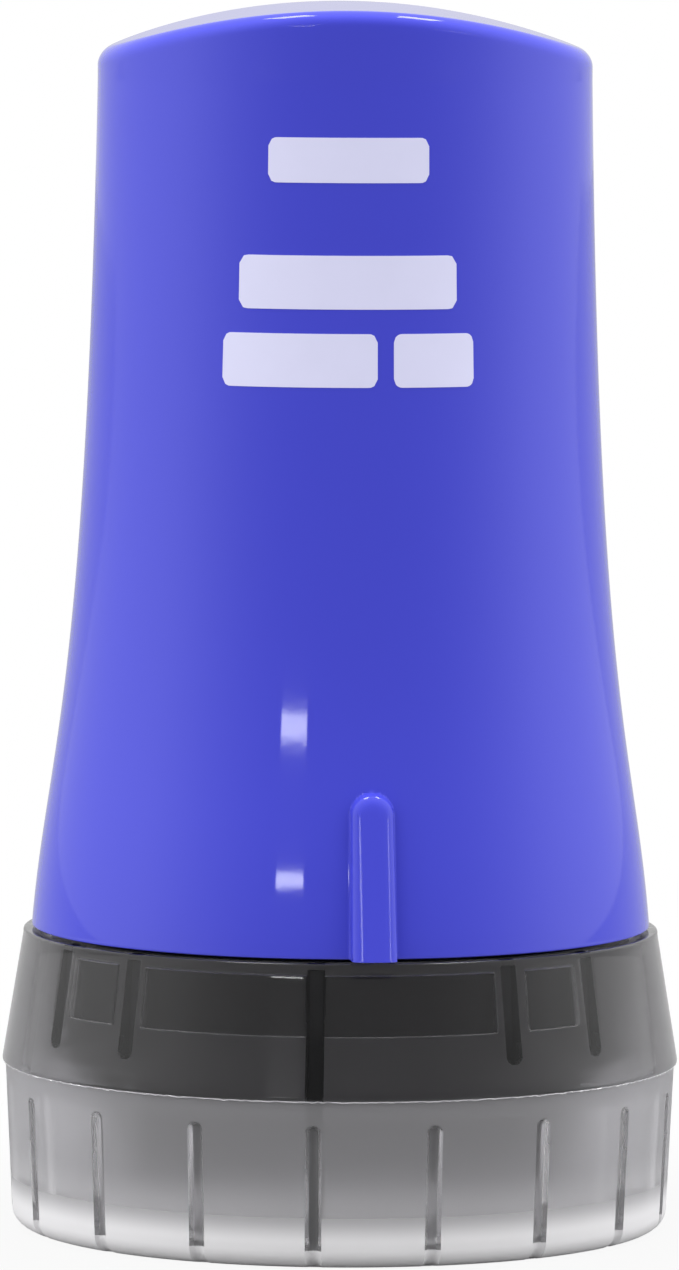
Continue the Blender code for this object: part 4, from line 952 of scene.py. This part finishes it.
# %% The table
TABLE_REACH, TABLE_GAP = 2.5, 0.02 * MM
TABLE_GREY, TABLE_ROUGHNESS = 0.25, 0.9
SHADOW_NEAR, SHADOW_FAR, SHADOW_GLOW = 0.03, 0.08, 0.92  # the glow gives way a little round the foot
MIRRORED_GLOW = 0.15  # the share of the table's white that shiny surfaces show
bpy.ops.mesh.primitive_plane_add(size=2 * TABLE_REACH, location=(0, 0, -TABLE_GAP))
table = bpy.context.object
table.name = "table"
table_top = bpy.data.materials.new("Table")
table_top.use_nodes = True
nodes, links = table_top.node_tree.nodes, table_top.node_tree.links
matte = nodes["Principled BSDF"]
matte.inputs["Base Color"].default_value = (TABLE_GREY, TABLE_GREY, TABLE_GREY, 1)
matte.inputs["Roughness"].default_value = TABLE_ROUGHNESS
glow = nodes.new("ShaderNodeEmission")
glow.inputs["Color"].default_value = (1, 1, 1, 1)
rays = nodes.new("ShaderNodeLightPath")
mirrored = nodes.new("ShaderNodeMath")
mirrored.operation = "MULTIPLY"
mirrored.inputs[1].default_value = MIRRORED_GLOW
seen = nodes.new("ShaderNodeMath")
seen.operation = "MAXIMUM"
shown = nodes.new("ShaderNodeMath")
shown.operation = "MULTIPLY_ADD"
place, length = nodes.new("ShaderNodeTexCoord"), nodes.new("ShaderNodeVectorMath")
length.operation = "LENGTH"
far = nodes.new("ShaderNodeMapRange")
far.interpolation_type = "SMOOTHSTEP"
far.inputs["From Min"].default_value = SHADOW_NEAR
far.inputs["From Max"].default_value = SHADOW_FAR
far.inputs["To Min"].default_value = SHADOW_GLOW
mix = nodes.new("ShaderNodeMixShader")
links.new(place.outputs["Object"], length.inputs[0])
links.new(length.outputs["Value"], far.inputs["Value"])
links.new(far.outputs["Result"], shown.inputs[1])
links.new(rays.outputs["Is Glossy Ray"], mirrored.inputs[0])
links.new(mirrored.outputs[0], seen.inputs[0])
links.new(rays.outputs["Is Transmission Ray"], seen.inputs[1])
links.new(rays.outputs["Is Camera Ray"], shown.inputs[0])
links.new(seen.outputs[0], shown.inputs[2])
links.new(shown.outputs[0], mix.inputs["Fac"])
links.new(matte.outputs[0], mix.inputs[1])
links.new(glow.outputs[0], mix.inputs[2])
links.new(mix.outputs[0], nodes["Material Output"].inputs["Surface"])
table.data.materials.append(table_top)
print("table:", 2 * TABLE_REACH, "m wide")

# %% The air
MATT_SIDES, MATT_BACK, MATT_FRONT = 2.35, 1.1, 0.05
SHINE_SIDES, SHINE_BACK, SHINE_FRONT = 1.1, 0.7, 0.22
MATT_EDGE, SHINE_EDGE = -0.35, 0.0
world = bpy.data.worlds.new("Tent")
bpy.context.scene.world = world
world.use_nodes = True
nodes, links = world.node_tree.nodes, world.node_tree.links
air = nodes["Background"]
air.inputs["Color"].default_value = (1, 1, 1, 1)
rays = nodes.new("ShaderNodeLightPath")
way = nodes.new("ShaderNodeTexCoord")
parts = nodes.new("ShaderNodeSeparateXYZ")
links.new(way.outputs["Generated"], parts.inputs[0])


def slide(low, high, start, stop):
    """A value that runs smoothly from start to stop while the way's Y runs from low to high."""
    level = nodes.new("ShaderNodeMapRange")
    level.interpolation_type = "SMOOTHSTEP"
    level.inputs["From Min"].default_value = low
    level.inputs["From Max"].default_value = high
    level.inputs["To Min"].default_value = start
    level.inputs["To Max"].default_value = stop
    links.new(parts.outputs["Y"], level.inputs["Value"])
    return level.outputs["Result"]


def tent(front, sides, back, edge):
    """A level of light for each way out of the stamp: front straight ahead, where the camera is,
    then sides from the way with Y = edge on, beside it, over it and under it, and back behind it."""
    total = nodes.new("ShaderNodeMath")
    links.new(slide(-1.0, edge, front, sides), total.inputs[0])
    links.new(slide(0.0, 1.0, 0.0, back - sides), total.inputs[1])
    return total.outputs[0]


def choose(ray, level, other):
    """The level for one kind of ray, and the other level for the rest."""
    choice = nodes.new("ShaderNodeMix")
    choice.data_type = "FLOAT"
    links.new(rays.outputs[ray], choice.inputs["Factor"])
    links.new(other, choice.inputs["A"])
    if isinstance(level, float):
        choice.inputs["B"].default_value = level
    else:
        links.new(level, choice.inputs["B"])
    return choice.outputs["Result"]


shine = tent(SHINE_FRONT, SHINE_SIDES, SHINE_BACK, SHINE_EDGE)
matt = tent(MATT_FRONT, MATT_SIDES, MATT_BACK, MATT_EDGE)
strength = choose("Is Glossy Ray", shine, matt)
strength = choose("Is Transmission Ray", 1.0, strength)
strength = choose("Is Camera Ray", 1.0, strength)
links.new(strength, air.inputs["Strength"])
print("air: matt", MATT_FRONT, "to", MATT_SIDES, "and shine", SHINE_FRONT, "to", SHINE_SIDES)


# %% The camera, where the picture was taken from
CAMERA_AWAY, CAMERA_HEIGHT = 830 * MM, 120.7 * MM
CAMERA_TURN, CAMERA_ROLL = np.radians(-5.9), np.radians(0.31)
AIM_HEIGHT, AIM_LEFT = 49.85 * MM, 0.22 * MM
LENS, SENSOR = 280.2, 36
camera_data = bpy.data.cameras.new("camera")
camera_data.sensor_width = SENSOR
camera_data.lens = LENS
camera = bpy.data.objects.new("camera", camera_data)
camera.location = (CAMERA_AWAY * np.sin(CAMERA_TURN), -CAMERA_AWAY * np.cos(CAMERA_TURN), CAMERA_HEIGHT)
aim = Vector((-AIM_LEFT * np.cos(CAMERA_TURN), -AIM_LEFT * np.sin(CAMERA_TURN), AIM_HEIGHT))
look = aim - camera.location
camera.rotation_mode = "QUATERNION"
camera.rotation_quaternion = look.to_track_quat("-Z", "Y") @ Quaternion((0, 0, 1), CAMERA_ROLL)
bpy.context.scene.collection.objects.link(camera)
bpy.context.scene.camera = camera
bpy.context.scene.view_settings.view_transform = "Standard"
print(f"camera {CAMERA_AWAY * 1000:.0f} mm away and {CAMERA_HEIGHT * 1000:.1f} mm high")

# %% [markdown]
# Two soft boxes hang over the tent and give the crown its two short streaks. A smaller light stands
# in front, and the polished flank shows it as a glint, and once more under that, because the flank
# is hollow there. Two low strips beside it draw thin lines on the thumb rib and on the cap's rim. To
# place such a light, a ray is followed from the camera to where its glint should be, and off the
# bell like a ball off a wall.

# %% Lights
LIGHT_AWAY = 2.0


def area_light(name, place, across, towards, wide, tall, level):
    """A rectangle of light at a place, with one side along across, that shines along towards. Its
    radiance L is the level, so its power is L pi w h."""
    data = bpy.data.lights.new(name, "AREA")
    data.shape = "RECTANGLE"
    data.size, data.size_y = wide, tall
    data.energy = level * np.pi * wide * tall
    back = -Vector(towards).normalized()
    side = Vector(across)
    side = (side - side.dot(back) * back).normalized()
    turn = Matrix((side, back.cross(side), back)).transposed()
    obj = bpy.data.objects.new(name, data)
    obj.matrix_world = Matrix.Translation(place) @ turn.to_4x4()
    bpy.context.scene.collection.objects.link(obj)


def on_bell(angle, height):
    """The place on the bell's outside, thumb rib and all, at an angle and a height."""
    radius = flank_radius(height)
    radius = float(radius + rib_push(radius, angle, height))
    return Vector((radius * np.cos(angle), radius * np.sin(angle), height))


def bounce(aside, height, near=0.02 * MM):
    """A place on the bell, given by how far aside of the stamp's middle the camera sees it, and
    the ray that leaves it: one that came in along d goes on along r = d - 2 (d.n) n. The normal n
    is square to two short steps on the bell, one along it and one up it."""
    radius = flank_radius(height)
    angle = FRONT + CAMERA_TURN + np.arcsin(aside / radius)
    along = on_bell(angle + near / radius, height) - on_bell(angle - near / radius, height)
    up = on_bell(angle, height + near) - on_bell(angle, height - near)
    normal = along.cross(up).normalized()
    place = on_bell(angle, height)
    ray = (place - camera.location).normalized()
    return place, ray - 2 * ray.dot(normal) * normal


def glint(name, aside, height, wide, tall, level):
    """A light whose glint lies at a place of the flank and has a width and a height there."""
    middle, side, top = [place + LIGHT_AWAY * ray for place, ray in (
        bounce(aside, height), bounce(aside + wide / 2, height), bounce(aside, height + tall / 2))]
    towards = bounce(aside, height)[0] - middle
    light_wide, light_tall = 2 * (side - middle).length, 2 * (top - middle).length
    area_light(name, middle, side - middle, towards, light_wide, light_tall, level)
    print(name, "is", round(light_wide, 3), "x", round(light_tall, 3), "m")


OVERHEAD_BACK, OVERHEAD_HIGH, OVERHEAD_DROP = 0.09, 0.95, 0.9
OVERHEAD_WIDE, OVERHEAD_TALL, OVERHEAD_LEVEL = 0.2, 0.25, 11.0
for name, x in (("overhead left", -0.246), ("overhead right", 0.351)):
    area_light(name, (x, OVERHEAD_BACK, OVERHEAD_HIGH), (1, 0, 0), (-x, -OVERHEAD_BACK, -OVERHEAD_DROP),
               OVERHEAD_WIDE, OVERHEAD_TALL, OVERHEAD_LEVEL)
glint("glint light", aside=-3.9 * MM, height=44.2 * MM, wide=2.1 * MM, tall=2.3 * MM, level=12.0)
STRIP_GLINT_HEIGHT, STRIP_WIDE, STRIP_TALL, STRIP_LEVEL = 32.4 * MM, 0.8, 0.012, 9.0
for name, aside in (("strip left", 1.55), ("strip right", 3.75)):
    place, ray = bounce(aside * MM, STRIP_GLINT_HEIGHT)
    area_light(name, place + LIGHT_AWAY * ray, (-ray.y, ray.x, 0), -ray, STRIP_WIDE, STRIP_TALL, STRIP_LEVEL)
print("lights:", len(bpy.data.lights))
